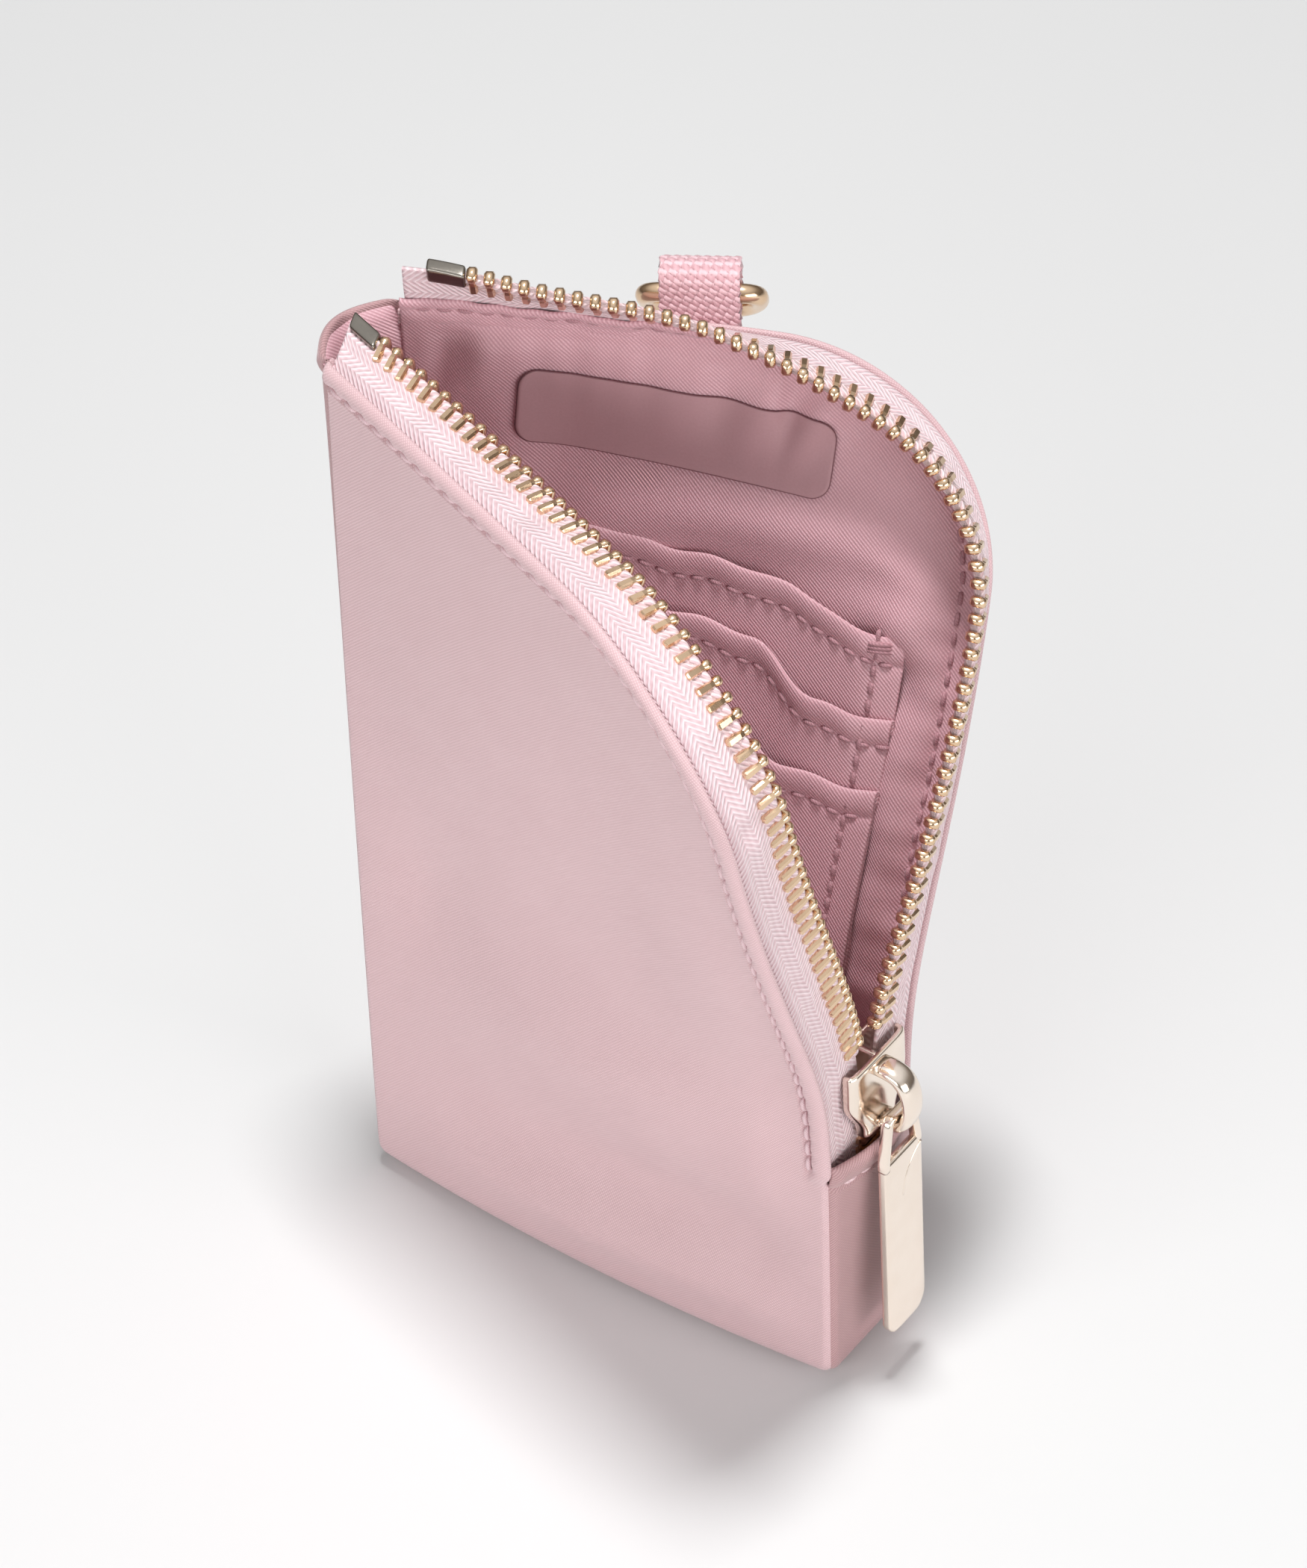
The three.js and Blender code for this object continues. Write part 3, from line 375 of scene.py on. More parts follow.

# %% [markdown]
# ## Satin twill
# Twill is woven in steps, so its face shows fine ribs on the slant, about half a millimetre apart,
# crossed by the threads that bind them. The height of the weave is a product of two waves in the
# cut position. The same height drives a Bump node and darkens the valleys a little, as painted shade
# between the threads.


# %% Cloth finishes
SOFT = {"Sheen_Weight": 0.25, "Sheen_Roughness": 0.4, "Specular_IOR_Level": 0.35}
WEAVE_SHARE, MOTTLE_SHARE, TONE_FLOOR, BINDING_STEP = 0.8, 0.16, 0.02, 1.15
ROUGHNESS_RANGE = 0.12


def cut_position(shade):
    """The cut position in mm, across and up, from the piece's own UV map."""
    parts = shade.node("SeparateXYZ", None, {0: shade.node("UVMap", {"uv_map": "cloth"})})
    return parts.out("X"), parts.out("Y")


def mottle(shade, scale, detail=2.0):
    """Soft uneven noise from 0 to 1 over the cut position, with blots about 1/scale mm across."""
    place = shade.node("UVMap", {"uv_map": "cloth"})
    return shade.node("TexNoise", None, {"Vector": place, "Scale": scale, "Detail": detail})


def twill(shade, pitch, lean, binding):
    """Slanted ribs a pitch apart, weakened by a share of binding where the crossing threads dip."""
    across, up = cut_position(shade)
    rib = rise_and_fall((across * lean + up) / pitch)
    cross = rise_and_fall((across - up * lean) / (pitch * BINDING_STEP))
    return rib * ((1 - binding) + cross * binding)


def cloth_finish(name, valley, ridge, pitch, lean, binding, relief, roughness):
    """Woven cloth: valleys darkened by the weave's height as painted shade, gently mottled; relief in mm."""
    finish, shader, shade = new_finish(name, **SOFT)
    height = twill(shade, pitch, lean, binding)
    # Painted shade: the weave's valleys are darker than its ridges. The mottle is random tone.
    tone = (height * WEAVE_SHARE + mottle(shade, 0.08) * MOTTLE_SHARE + TONE_FLOOR).clip()
    bump = shade.node("Bump", None, {"Strength": 0.6, "Distance": relief * MM, "Height": height})
    feed(shader, Base_Color=tone.mix(valley, ridge), Normal=bump,
         Roughness=mottle(shade, 0.15) * ROUGHNESS_RANGE + (roughness - ROUGHNESS_RANGE / 2))
    return finish


panel_cloth = cloth_finish("panel_satin_twill", ink(202, 166, 170), ink(238, 209, 212),
                           pitch=0.52, lean=1.0, binding=0.9, relief=0.08, roughness=0.42)
# The gussets are the panel's satin coloured darker: painted shade for sides turned away from the light.
gusset_cloth = cloth_finish("gusset_satin_twill_shaded", ink(164, 125, 127), ink(204, 166, 168),
                            pitch=0.55, lean=-1.0, binding=0.35, relief=0.1, roughness=0.45)
# The lining is the panel's satin coloured deeper and darker: painted shade for the inside of the pouch.
lining_cloth = cloth_finish("lining_satin_twill_shaded", ink(192, 142, 151), ink(234, 192, 200),
                            pitch=0.66, lean=1.0, binding=0.35, relief=0.12, roughness=0.36)
print("three woven finishes")

# %% [markdown]
# ## Zip tape, webbing and thread
# Zip tape is woven in herringbone: the slant of the ribs turns over every few threads. That is the
# same rib wave, with a zigzag across the tape added to its phase. Webbing has straight ribs, so its
# slant is 0. Thread is a twisted yarn, so its ribs run slantwise round it.


# %% Tape and thread finishes
RIB_SHARE, TAPE_TONE, TAPE_MOTTLE = 0.75, 0.85, 0.3
YARN = {"pitch": 0.35, "lean": 1.0, "binding": 0.1, "relief": 0.05, "roughness": 0.5}


def zigzag(value, width):
    """A ramp that climbs for half a width and falls for the other half."""
    share = value / width
    return share.math("PINGPONG", share, 0.5) * width


def herringbone_finish(name, valley, ridge, pitch, column, slant, relief):
    """Woven tape: ribs a pitch apart whose slant turns over in every column, bound by four threads each."""
    finish, shader, shade = new_finish(name, Roughness=0.6, Sheen_Weight=0.3, Specular_IOR_Level=0.3)
    along, over = cut_position(shade)
    rib = rise_and_fall((along + zigzag(over, column) * slant) / pitch)
    thread = rise_and_fall(over / (column / 4))
    height = rib * RIB_SHARE + thread * (1 - RIB_SHARE)
    bump = shade.node("Bump", None, {"Strength": 0.8, "Distance": relief * MM, "Height": height})
    # Painted shade: the valleys between the ribs and threads are darker. The mottle is random tone.
    tone = (height * TAPE_TONE + mottle(shade, 0.2) * TAPE_MOTTLE).clip()
    feed(shader, Base_Color=tone.mix(valley, ridge), Normal=bump)
    return finish


zip_tape = herringbone_finish("zip_tape_herringbone", ink(216, 178, 184), ink(250, 230, 234),
                              pitch=1.15, column=4.4, slant=1.2, relief=0.34)
webbing = herringbone_finish("pink_webbing", ink(196, 146, 154), ink(238, 202, 208),
                             pitch=1.3, column=3.0, slant=0.0, relief=0.2)
thread_yarn = cloth_finish("sewing_thread", ink(214, 178, 184), ink(244, 218, 222), **YARN)
# The lining's thread is coloured darker than the lining: painted shade for stitches that lie in shadow.
shaded_yarn = cloth_finish("lining_thread_shaded", ink(160, 114, 122), ink(196, 150, 158), **YARN)
print("herringbone tape, webbing and thread")

# %% [markdown]
# ## Polished metal
# The teeth, slider, pull and ring are plated a pale gold, and the stops are grey. Polished metal is
# mostly what it reflects, so the finish is a colour with faint blots and a low roughness that wanders.


# %% Metal finishes
BLOT_SCALE, FINE_SCALE, BLOT_ROUGH, FINE_ROUGH = 260.0, 2400.0, 0.06, 0.1


def metal_finish(name, colour, worn, roughness):
    """Plated metal: colour with faint darker blots, and a roughness that wanders over the surface."""
    finish, shader, shade = new_finish(name, Metallic=1.0)
    place = shade.node("TexCoord", None, None, "Object")
    blots = shade.node("TexNoise", None, {"Vector": place, "Scale": BLOT_SCALE, "Detail": 3.0})
    fine = shade.node("TexNoise", None, {"Vector": place, "Scale": FINE_SCALE, "Detail": 2.0})
    feed(shader, Base_Color=blots.mix(colour, worn),
         Roughness=fine * FINE_ROUGH + blots * BLOT_ROUGH + (roughness - (FINE_ROUGH + BLOT_ROUGH) / 2))
    return finish


tooth_gold = metal_finish("zip_gold", ink(238, 209, 178), ink(216, 184, 150), 0.2)
stop_steel = metal_finish("stop_grey", ink(150, 144, 136), ink(126, 121, 114), 0.2)
pale_gold = metal_finish("pale_gold", ink(248, 236, 224), ink(240, 225, 211), 0.16)
print("three metal finishes")

# %% [markdown]
# ## Smooth lines and steps
# The section of a lip or a hem is drawn as a few points, and a smooth line runs through them. Between
# two points it is a cubic whose slopes follow the neighbours, and it is then sampled evenly. Soft
# starts and round corners are two more short formulas.

# %% Line helpers
STEPS_PER_POINT = 12


def stacked(*parts):
    """Coordinates stretched to one shape and put together as points."""
    return np.stack(np.broadcast_arrays(*parts), -1)


def run_along(line):
    """Length along a line of points: the running sum of its steps, from 0."""
    steps = np.linalg.norm(np.diff(line, axis=0), axis=1)
    return np.concatenate([[0], np.cumsum(steps)])


def sampled(places, run, line):
    """A line's points at places along its run, straight between its own points."""
    return np.stack([np.interp(places, run, line[:, k]) for k in range(line.shape[1])], 1)


def cubic(start, end, leave, arrive, t):
    """Cubic from start at t = 0 to end at t = 1, with the given slopes there."""
    return (start * (1 + 2 * t) * (1 - t) ** 2 + leave * t * (1 - t) ** 2
            + end * t ** 2 * (3 - 2 * t) - arrive * t ** 2 * (1 - t))


def smooth_line(points, count):
    """Even samples of a smooth line through points: cubic pieces whose slopes are neighbour to neighbour."""
    points = np.asarray(points, float)
    before = np.concatenate([2 * points[:1] - points[1:2], points[:-1]])
    after = np.concatenate([points[1:], 2 * points[-1:] - points[-2:-1]])
    slope = (after - before) / 2
    place = np.linspace(0, len(points) - 1, STEPS_PER_POINT * len(points))
    index = np.minimum(place.astype(int), len(points) - 2)
    line = cubic(points[index], points[index + 1], slope[index], slope[index + 1], (place - index)[:, None])
    run = run_along(line)
    return sampled(np.linspace(0, run[-1], count), run, line)


def smooth_step(value, low, high):
    """0 below low, 1 above high, and an even S between them."""
    t = np.clip((value - low) / (high - low), 0, 1)
    return t * t * (3 - 2 * t)


def corner_inset(height, radius):
    """How far a round corner draws an edge in at a height above its foot: the rest of a quarter circle."""
    return radius - np.sqrt(np.maximum(radius ** 2 - np.clip(radius - height, 0, radius) ** 2, 0))


print("line helpers ready")

# %% [markdown]
# ## Body of a panel
# Each outer panel is one piece of cloth. At the left, at the base and low on the right it rolls into
# a seam. Its foot is rounded where the pouch stands, and soft hills make it swell and fold. The body
# is a grid over the wall function that ends just under the lip.

# %% Panel body
HEM_HEIGHT = 50.0
TOP_RUN = PANEL_WIDTH - CORNER_RADIUS
CORNER_RUN = CORNER_RADIUS * np.pi / 2
SHOULDER = PANEL_HEIGHT - CORNER_RADIUS
EDGE_RUN = TOP_RUN + CORNER_RUN + SHOULDER
SEAM_ROLL, SEAM_SEAT = 1.2, 1.9
SEAM_STEPS = np.linspace(0, 2, 7)
NEAR_EDGE = 10.0
NEAR_STEPS = np.concatenate([SEAM_STEPS, np.linspace(3, NEAR_EDGE, 7)])
BODY_ROWS, CORNER_ROWS, BODY_COLUMNS, NARROW_COLUMN = 92, 26, 62, 0.998
FOOT_ROUND, FOOT_BOW, FOOT_FADE = 5.0, 2.4, 22.0
FRONT.tuck, REAR.tuck = 0.0, 1.0
FRONT.hills = [((8, 51), (34, 17), 4.0), ((14, 27.5), (30, 8), -2.2), ((-30, 66), (12, 18), -1.4),
               ((8, 13), (38, 7), 1.8), ((28, 92), (12, 26), 1.2), ((-10, 116), (24, 28), 1.2)]
REAR.hills = [((0, 80), (34, 50), 1.2), ((10, 130), (30, 24), 0.6)]


def seam_roll(d):
    """Cloth that rolls into a seam: at cut distance d, the place in from the edge and the depth."""
    turn = np.clip(np.pi / 2 - d / SEAM_ROLL, 0, np.pi / 2)
    inset = SEAM_SEAT - SEAM_ROLL * np.sin(turn) + np.maximum(d - SEAM_ROLL * np.pi / 2, 0)
    return inset, SEAM_ROLL * (1 - np.cos(turn))


def hump(u, v, centre, spread, height):
    """A soft round hill: its height falls off with the squared distance, measured in spreads."""
    return height * np.exp(-((u - centre[0]) / spread[0]) ** 2 - ((v - centre[1]) / spread[1]) ** 2)


def drape(wall, u, v):
    """How far the cloth stands out of the plain wall: soft hills that die away at the seams."""
    rise = sum(hump(u, v, *hill) for hill in wall.hills)
    return rise * smooth_step(u + HALF, 2, 16) * smooth_step(v, 2, 14) * smooth_step(HALF - u, 3, 14)


def right_limit(v, inset):
    """Right edge of the outline at height v, drawn in by an inset: straight, then a quarter circle."""
    lift = np.clip(v - SHOULDER, 0, CORNER_RADIUS - inset)
    return HALF - CORNER_RADIUS + np.sqrt((CORNER_RADIUS - inset) ** 2 - lift ** 2)


def settle(points):
    """Rounds the foot: drawn in like a round corner near the floor, and bowed out along its long sides."""
    drawn = corner_inset(points[..., 2:], FOOT_ROUND)
    bow = FOOT_BOW * (1 - (points[..., :1] / HALF) ** 2) * np.exp(-(points[..., 2:] / FOOT_FADE) ** 2)
    return points * (1 + (bow * [0, 1, 0] - drawn) * [1 / HALF, 2 / POUCH_DEPTH, 0])


def lip_share(v):
    """1 along the zip, where the edge is a turned lip, and 0 below the hem, where it is a seam."""
    return smooth_step(v, HEM_HEIGHT - 5, HEM_HEIGHT - 1)


def panel_body(wall, inset):
    """Grid of the panel inside its lip: fixed columns near the left seam, then even ones to the outline.

    The last column is narrow, so that the bend of the shading at the border stays under the lip.
    """
    angles = np.linspace(0, np.pi / 2, CORNER_ROWS)[1:]
    cut_v = np.concatenate([NEAR_STEPS, np.linspace(NEAR_EDGE, SHOULDER, BODY_ROWS)[1:],
                            SHOULDER + (CORNER_RADIUS - inset - wall.tuck) * np.sin(angles)])[:, None]
    share = np.append(np.linspace(0, 1, BODY_COLUMNS)[1:-1], [NARROW_COLUMN, 1.0])
    limit = right_limit(cut_v, inset + wall.tuck * lip_share(cut_v))
    far = -HALF + NEAR_EDGE + share * (limit + HALF - NEAR_EDGE)
    near = np.broadcast_to(NEAR_STEPS - HALF, (len(cut_v), len(NEAR_STEPS)))
    cut_u, cut_v = np.broadcast_arrays(np.concatenate([near, far], 1), cut_v)
    left, sunk_left = seam_roll(cut_u + HALF)
    low, sunk_low = seam_roll(cut_v)
    depth = sunk_left + sunk_low - drape(wall, cut_u, cut_v)
    return settle(layer(wall, left - HALF, low, depth)), stacked(cut_u, cut_v)


print("zip edge of a panel is", round(EDGE_RUN), "mm long")

# %% [markdown]
# ## Turned lip
# Along the zip a panel is turned under and topstitched, which leaves a soft padded lip with a groove
# at the stitches. The lip's section is carried along the edge, and below the hem it turns into the
# plain seam roll. Body and lip make one piece.

# %% Panels
LIP, LIP_OVERLAP, LIP_STITCH, LIP_END, STITCH_PITCH = 6.2, 1.3, 3.9, 3.0, 3.5
LIP_STEPS, LIP_ROWS, LIP_END_ROWS = 46, 470, 9
LIP_LINE = [(6.2, -0.12), (5.6, -0.03), (5.1, 0.02), (4.75, 0.03), (4.4, -0.3), (3.9, -0.75),
            (3.45, -0.3), (2.9, 0.38), (2.1, 0.7), (1.3, 0.68), (0.6, 0.42), (0.15, 0.0), (0.0, -0.45),
            (0.25, -0.85), (0.9, -1.0), (1.7, -1.0), (2.6, -0.95)]
LIP_SCALLOPS = [(0.16, 2.9, 0.9), (0.09, 4.7, 0.4)]
SEAM_LIFT, SEAM_TUCK, SEAM_TUCK_RUN = 0.015, 0.06, 1.2


def edge_point(s):
    """Cut position at run s along the zip edge (top, quarter circle, right side), with its way out."""
    angle = np.clip((s - TOP_RUN) / CORNER_RADIUS, 0, np.pi / 2)
    out_u, out_v = np.sin(angle), np.cos(angle)
    u = HALF - CORNER_RADIUS - np.maximum(TOP_RUN - s, 0) + CORNER_RADIUS * out_u
    v = SHOULDER + CORNER_RADIUS * out_v - np.maximum(s - TOP_RUN - CORNER_RUN, 0)
    return u, v, out_u, out_v


def panel_lip(wall):
    """Strip along the zip edge: the lip's section, which turns into the plain seam roll below the hem."""
    end = np.linspace(0, LIP_END, LIP_END_ROWS)
    s = np.concatenate([end, np.linspace(LIP_END, EDGE_RUN - LIP_END, LIP_ROWS)[1:],
                        EDGE_RUN - LIP_END + end[1:]])
    u, v, out_u, out_v, s = (value[:, None] for value in (*edge_point(s), s))
    inward, proud = smooth_line(LIP_LINE, LIP_STEPS).T
    seam_run = np.linspace(LIP, 0, LIP_STEPS)
    rolled, sunk = seam_roll(seam_run)
    seam_height = SEAM_LIFT - sunk - SEAM_TUCK * smooth_step(rolled, LIP - SEAM_TUCK_RUN, LIP)
    scallop = np.cos(2 * np.pi * s / STITCH_PITCH) * sum(
        high * np.exp(-((inward - place) / spread) ** 2) for high, place, spread in LIP_SCALLOPS)
    turned = lip_share(v)
    inset = turned * (inward + wall.tuck) + (1 - turned) * rolled
    height = turned * (proud - scallop) + (1 - turned) * seam_height
    inner = turned * (LIP - run_along(np.stack([inward, proud], 1))) + (1 - turned) * seam_run
    left, sunk_left = seam_roll(s)
    low, sunk_low = seam_roll(EDGE_RUN - s)
    at_left, at_base = s < LIP, s > EDGE_RUN - LIP
    place_u = np.where(at_left, left - HALF, u - out_u * inset)
    place_v = np.where(at_base, low, v - out_v * inset)
    depth = np.where(at_left, sunk_left, 0) + np.where(at_base, sunk_low, 0)
    points = layer(wall, place_u, place_v, depth - height - drape(wall, place_u, place_v))
    return settle(points), stacked(u - out_u * inner, v - out_v * inner)


def add_panel(name, wall, nodes):
    """A panel's body and lip as one cloth."""
    body, body_cut = panel_body(wall, LIP - LIP_OVERLAP)
    lip, lip_cut = panel_lip(wall)
    grids = [(body, body_cut, wall.side > 0), (lip, lip_cut, wall.side < 0)]
    return add_cloth(name, grids, panel_cloth, "panel_cloth", nodes)


front_panel = add_panel("front_panel_cloth", FRONT, ["front_panel", "front_interlining"])
back_panel = add_panel("back_panel_cloth", REAR, ["back_panel", "back_interlining"])

# %% [markdown]
# ## Gussets
# Narrow strips join the panels at the left, under the base and low on the right. A sewn edge rolls
# into its seam, so each strip starts and ends with a quarter turn. The left one bows out under the
# open zip and the right one ends in a thick rolled hem. One formula serves both: a straight strip
# between the two walls, pushed out by a bow.

# %% Gussets
LEFT_BOW, HEM_BOW = 4.8, 2.8
STRIP_COLUMNS, GUSSET_ROWS, GUSSET_LIP_STEPS = 26, 64, 40
RIPPLE, RIPPLE_INSET = 0.16, 2.6
HEM_LINE = [(5.5, 0.0), (4.9, -0.1), (4.5, -0.25), (4.0, 0.2), (3.0, 0.6), (2.0, 0.8), (1.0, 0.7), (0.2, 0.2),
            (0.0, -0.4), (0.3, -0.9), (1.2, -1.1), (3.0, -1.0)]


def left_bow(v):
    """How far the left gusset bows out at height v: by the fourth power of its share of the height."""
    return LEFT_BOW * (v / PANEL_HEIGHT) ** 4


def hem_bow(v):
    """How far the right gusset bows out at height v: by the square of its share of the hem's height."""
    return HEM_BOW * (v / HEM_HEIGHT) ** 2


def strip_runs(width):
    """Cut distances across strips of the given widths, close together where they roll into a seam."""
    near = SEAM_STEPS * np.ones_like(width)
    seam = SEAM_STEPS[-1]
    between = seam + np.linspace(0, 1, STRIP_COLUMNS)[1:-1] * (width - 2 * seam)
    return np.concatenate([near, between, width - near[:, ::-1]], 1)


def strip_place(d, width):
    """Place across a strip and depth below it, for a strip that rolls into a seam at both sides."""
    near, sunk_near = seam_roll(d)
    far, sunk_far = seam_roll(width - d)
    return np.where(d < width / 2, near, width - far), sunk_near + sunk_far


def add_gusset(name, u, top, line, bow, nodes):
    """Strip between the walls at cut edge u: seam rolls at the sides and base, the line's section on top."""
    lip_start = top - line[0][0]
    rows = np.concatenate([NEAR_STEPS, np.linspace(NEAR_EDGE, lip_start, GUSSET_ROWS)[1:]])
    low, sunk_low = seam_roll(rows)
    section = smooth_line(line, GUSSET_LIP_STEPS)[1:]
    v = np.concatenate([low, top - section[:, 0]])
    proud = np.concatenate([-sunk_low, section[:, 1]])[:, None]
    front, rear = wall_point(FRONT, u, v)[:, None], wall_point(REAR, u, v)[:, None]
    width = rear[..., 1] - front[..., 1]
    d = strip_runs(width)
    across, sunk = strip_place(d, width)
    share = across / width
    groove = RIPPLE * np.exp(-(top - v - RIPPLE_INSET) ** 2)[:, None]
    ripple = groove * np.cos(2 * np.pi * d / STITCH_PITCH) * (proud > 0)
    points = front + (rear - front) * share[..., None]
    points[..., 0] += np.sign(u) * (proud - ripple + bow(v)[:, None] * np.sin(np.pi * share) - sunk)
    cut_v = np.concatenate([rows, lip_start + run_along(section)])[:, None]
    grid = (settle(points), stacked(d, cut_v), u < 0)
    return add_cloth(name, [grid], gusset_cloth, "gusset_cloth", nodes)


def add_base():
    """The strip that the pouch stands on: flat on the floor, rolled up into the seam on all four sides."""
    across = strip_runs(np.array([[PANEL_WIDTH]]))[0]
    back = strip_runs(np.array([[POUCH_DEPTH]]))[0][:, None]
    x, sunk_x = strip_place(across, PANEL_WIDTH)
    y, sunk_y = strip_place(back, POUCH_DEPTH)
    points = stacked(x - HALF, y - POUCH_DEPTH / 2, np.maximum(sunk_x, sunk_y))
    grid = (settle(points), stacked(across, back), True)
    return add_cloth("bottom_gusset_cloth", [grid], gusset_cloth, "gusset_cloth", ["bottom_gusset"])


left_gusset = add_gusset("left_gusset_cloth", -HALF, PANEL_HEIGHT, LIP_LINE[2:], left_bow, ["left_gusset"])
right_gusset = add_gusset("right_gusset_cloth", HALF, HEM_HEIGHT, HEM_LINE, hem_bow, ["right_gusset"])
bottom_gusset = add_base()

# %% [markdown]
# ## Lining
# The lining is a second, softer bag hung inside the first and caught in the zip seam. It is cut a
# little large, so it puckers along that seam and lies in slack folds below. Both are sums of waves
# and soft hills, added to the depth of the same wall function.

# %% Lining
LINING_FACE, LINING_EDGE, LINING_SEAM, LINING_FOOT, LINING_SIDE = 2.7, 2.2, 5.2, 2.4, 0.8
FRONT.slack = [((0, 90), (20, 40), 0.6), ((20, 120), (12, 30), 0.5)]
REAR.slack = [((10, 137), (24, 5), 2.0), ((-14, 132), (12, 6), 1.4), ((33, 128), (5, 5), 2.2),
              ((30, 118), (6, 5), -1.2), ((37, 108), (4, 8), 1.8), ((36, 84), (3, 14), 1.2),
              ((-30, 140), (6, 22), 1.6), ((-38, 120), (5, 30), 1.0)]


def edge_place(u, v):
    """Distance in from the zip edge and run along it, from whichever of top, corner and side is nearest."""
    far_u, far_v = u - (HALF - CORNER_RADIUS), v - SHOULDER
    corner = (far_u > 0) & (far_v > 0)
    below, beside = PANEL_HEIGHT - v, HALF - u
    inside = np.where(corner, CORNER_RADIUS - np.hypot(far_u, far_v), np.minimum(below, beside))
    run = np.where(corner, TOP_RUN + CORNER_RADIUS * np.arctan2(far_u, far_v),
                   np.where(below < beside, u + HALF, TOP_RUN + CORNER_RUN - far_v))
    return inside, run


def slack(wall, u, v):
    """How far the lining stands into the mouth: puckers that die away from the zip seam, and soft folds."""
    inside, run = edge_place(u, v)
    pucker = np.sin(run / 1.15) * np.sin(run / 3.7 + 1) + 0.6 * np.sin(run / 2.3 + 0.5)
    fade = 0.55 + 0.45 * np.sin(run / 11 + inside / 6)
    ray = np.sin(run / 2.9 + 2.0 * np.sin(run / 9) + inside / 7) * fade
    seam = 0.4 * np.exp(-((inside - LINING_SEAM) / 0.9) ** 2)
    hills = sum(hump(u, v, *hill) for hill in wall.slack)
    waves = pucker * 0.6 * np.exp(-inside / 6) + ray * 1.1 * np.exp(-((inside - 10) / 7) ** 2)
    caught = smooth_step(inside, 2.5, 6)
    return ((waves + hills) * caught - seam - 0.5 * (1 - caught)) * smooth_step(u + HALF, LINING_FOOT, 8)


def add_lining(name, wall, nodes):
    """Lining of a wall: even columns out to its outline, at the depth of its slack."""
    angles = np.linspace(0, np.pi / 2, 40)[1:]
    v = np.concatenate([np.linspace(LINING_FOOT, SHOULDER, 120),
                        SHOULDER + (CORNER_RADIUS - LINING_EDGE) * np.sin(angles)])[:, None]
    width = right_limit(v, LINING_EDGE) + HALF - LINING_SIDE
    u, v = np.broadcast_arrays(-HALF + LINING_SIDE + np.linspace(0, 1, 150) * width, v)
    points = layer(wall, u, v, LINING_FACE + slack(wall, u, v))
    return add_cloth(name, [(points, stacked(u, v), wall.side < 0)], lining_cloth, "lining_cloth", nodes)


front_lining = add_lining("front_lining_cloth", FRONT, ["front_lining"])
back_lining = add_lining("back_lining_cloth", REAR, ["back_lining"])

# %% [markdown]
# ## Lining of the gussets and the base
# The gussets' own linings are plain strips that lie inside them, follow their bow and ripple a
# little. The base has a level sheet with low waves.

# %% Gusset linings
SIDE_LINING_FOOT, SIDE_LINING_CLOSE = 2.8, 1.0


def add_side_lining(name, u, top, bow, nodes):
    """Lining of a gusset: a plain strip inside it that follows its bow."""
    v = np.linspace(SIDE_LINING_FOOT, top, 80)[:, None]
    front, rear = wall_point(FRONT, u, v), wall_point(REAR, u, v)
    width = rear[..., 1] - front[..., 1]
    share = (LINING_SIDE + (width - 2 * LINING_SIDE) * np.linspace(0, 1, 26)) / width
    points = front + (rear - front) * share[..., None]
    waves = 0.3 * np.sin(share * 9) * np.sin(v / 6)
    close = LINING_FACE - (LINING_FACE - SIDE_LINING_CLOSE) * smooth_step(v, top - 5, top)
    points[..., 0] += np.sign(u) * (bow(v) * np.sin(np.pi * share) - close - waves)
    return add_cloth(name, [(points, stacked(share * width, v), u > 0)], lining_cloth, "lining_cloth", nodes)


def add_base_lining():
    """Lining of the base: a level sheet with low waves both ways."""
    x, y = np.meshgrid(np.linspace(LINING_FOOT - HALF, HALF - LINING_FOOT, 60),
                       np.linspace(LINING_FOOT, POUCH_DEPTH - LINING_FOOT, 20) - POUCH_DEPTH / 2)
    z = LINING_FACE + 0.25 * np.sin(x / 5) * np.cos(y / 4)
    grid = (stacked(x, y, z), stacked(x, y), False)
    return add_cloth("bottom_lining_cloth", [grid], lining_cloth, "lining_cloth", ["bottom_lining"])


left_lining = add_side_lining("left_lining_cloth", -HALF, PANEL_HEIGHT - 0.9, left_bow, ["left_lining"])
right_lining = add_side_lining("right_lining_cloth", HALF, HEM_HEIGHT - 8, np.zeros_like, ["right_lining"])
bottom_lining = add_base_lining()

# %% [markdown]
# ## Card pockets
# Three pockets are sewn to the back lining, one in front of the other. Each has a turned hem, and a
# hem on slack cloth never lies straight: it runs high at the left, drops in an S and lies flat
# where the right edge is stitched down.

# %% Pockets
POCKET_NODES = ["upper_pocket", "middle_card_pocket", "lower_card_pocket"]
POCKET_RIGHT, POCKET_WIDTH, POCKET_BOTTOM, POCKET_TOP, POCKET_STEP = 34.0, 65.0, 36.0, 126.0, 11.5
POCKET_FACE, POCKET_LAYER, POCKET_ROLL, POCKET_ROLL_DEPTH, POCKET_SEAM = 3.3, 0.8, 1.2, 0.5, 4.2
POCKET_HEM = [(5.2, 0.0), (4.7, -0.08), (4.4, -0.2), (3.8, 0.12), (2.8, 0.4), (1.6, 0.48), (0.6, 0.34),
              (0.0, 0.0), (0.1, -0.35), (0.8, -0.55), (2.4, -0.55)]
HEM_SLANT, GAPE, GAPE_SWELL, GAPE_SPREAD, GAPE_FADE = 0.08, 1.2, 1.5, 9, 13
POCKET_DROPS = [(22.0, 4.5, 4.2), (18.0, 4.5, 6.8), (14.0, 5.0, 7.2)]


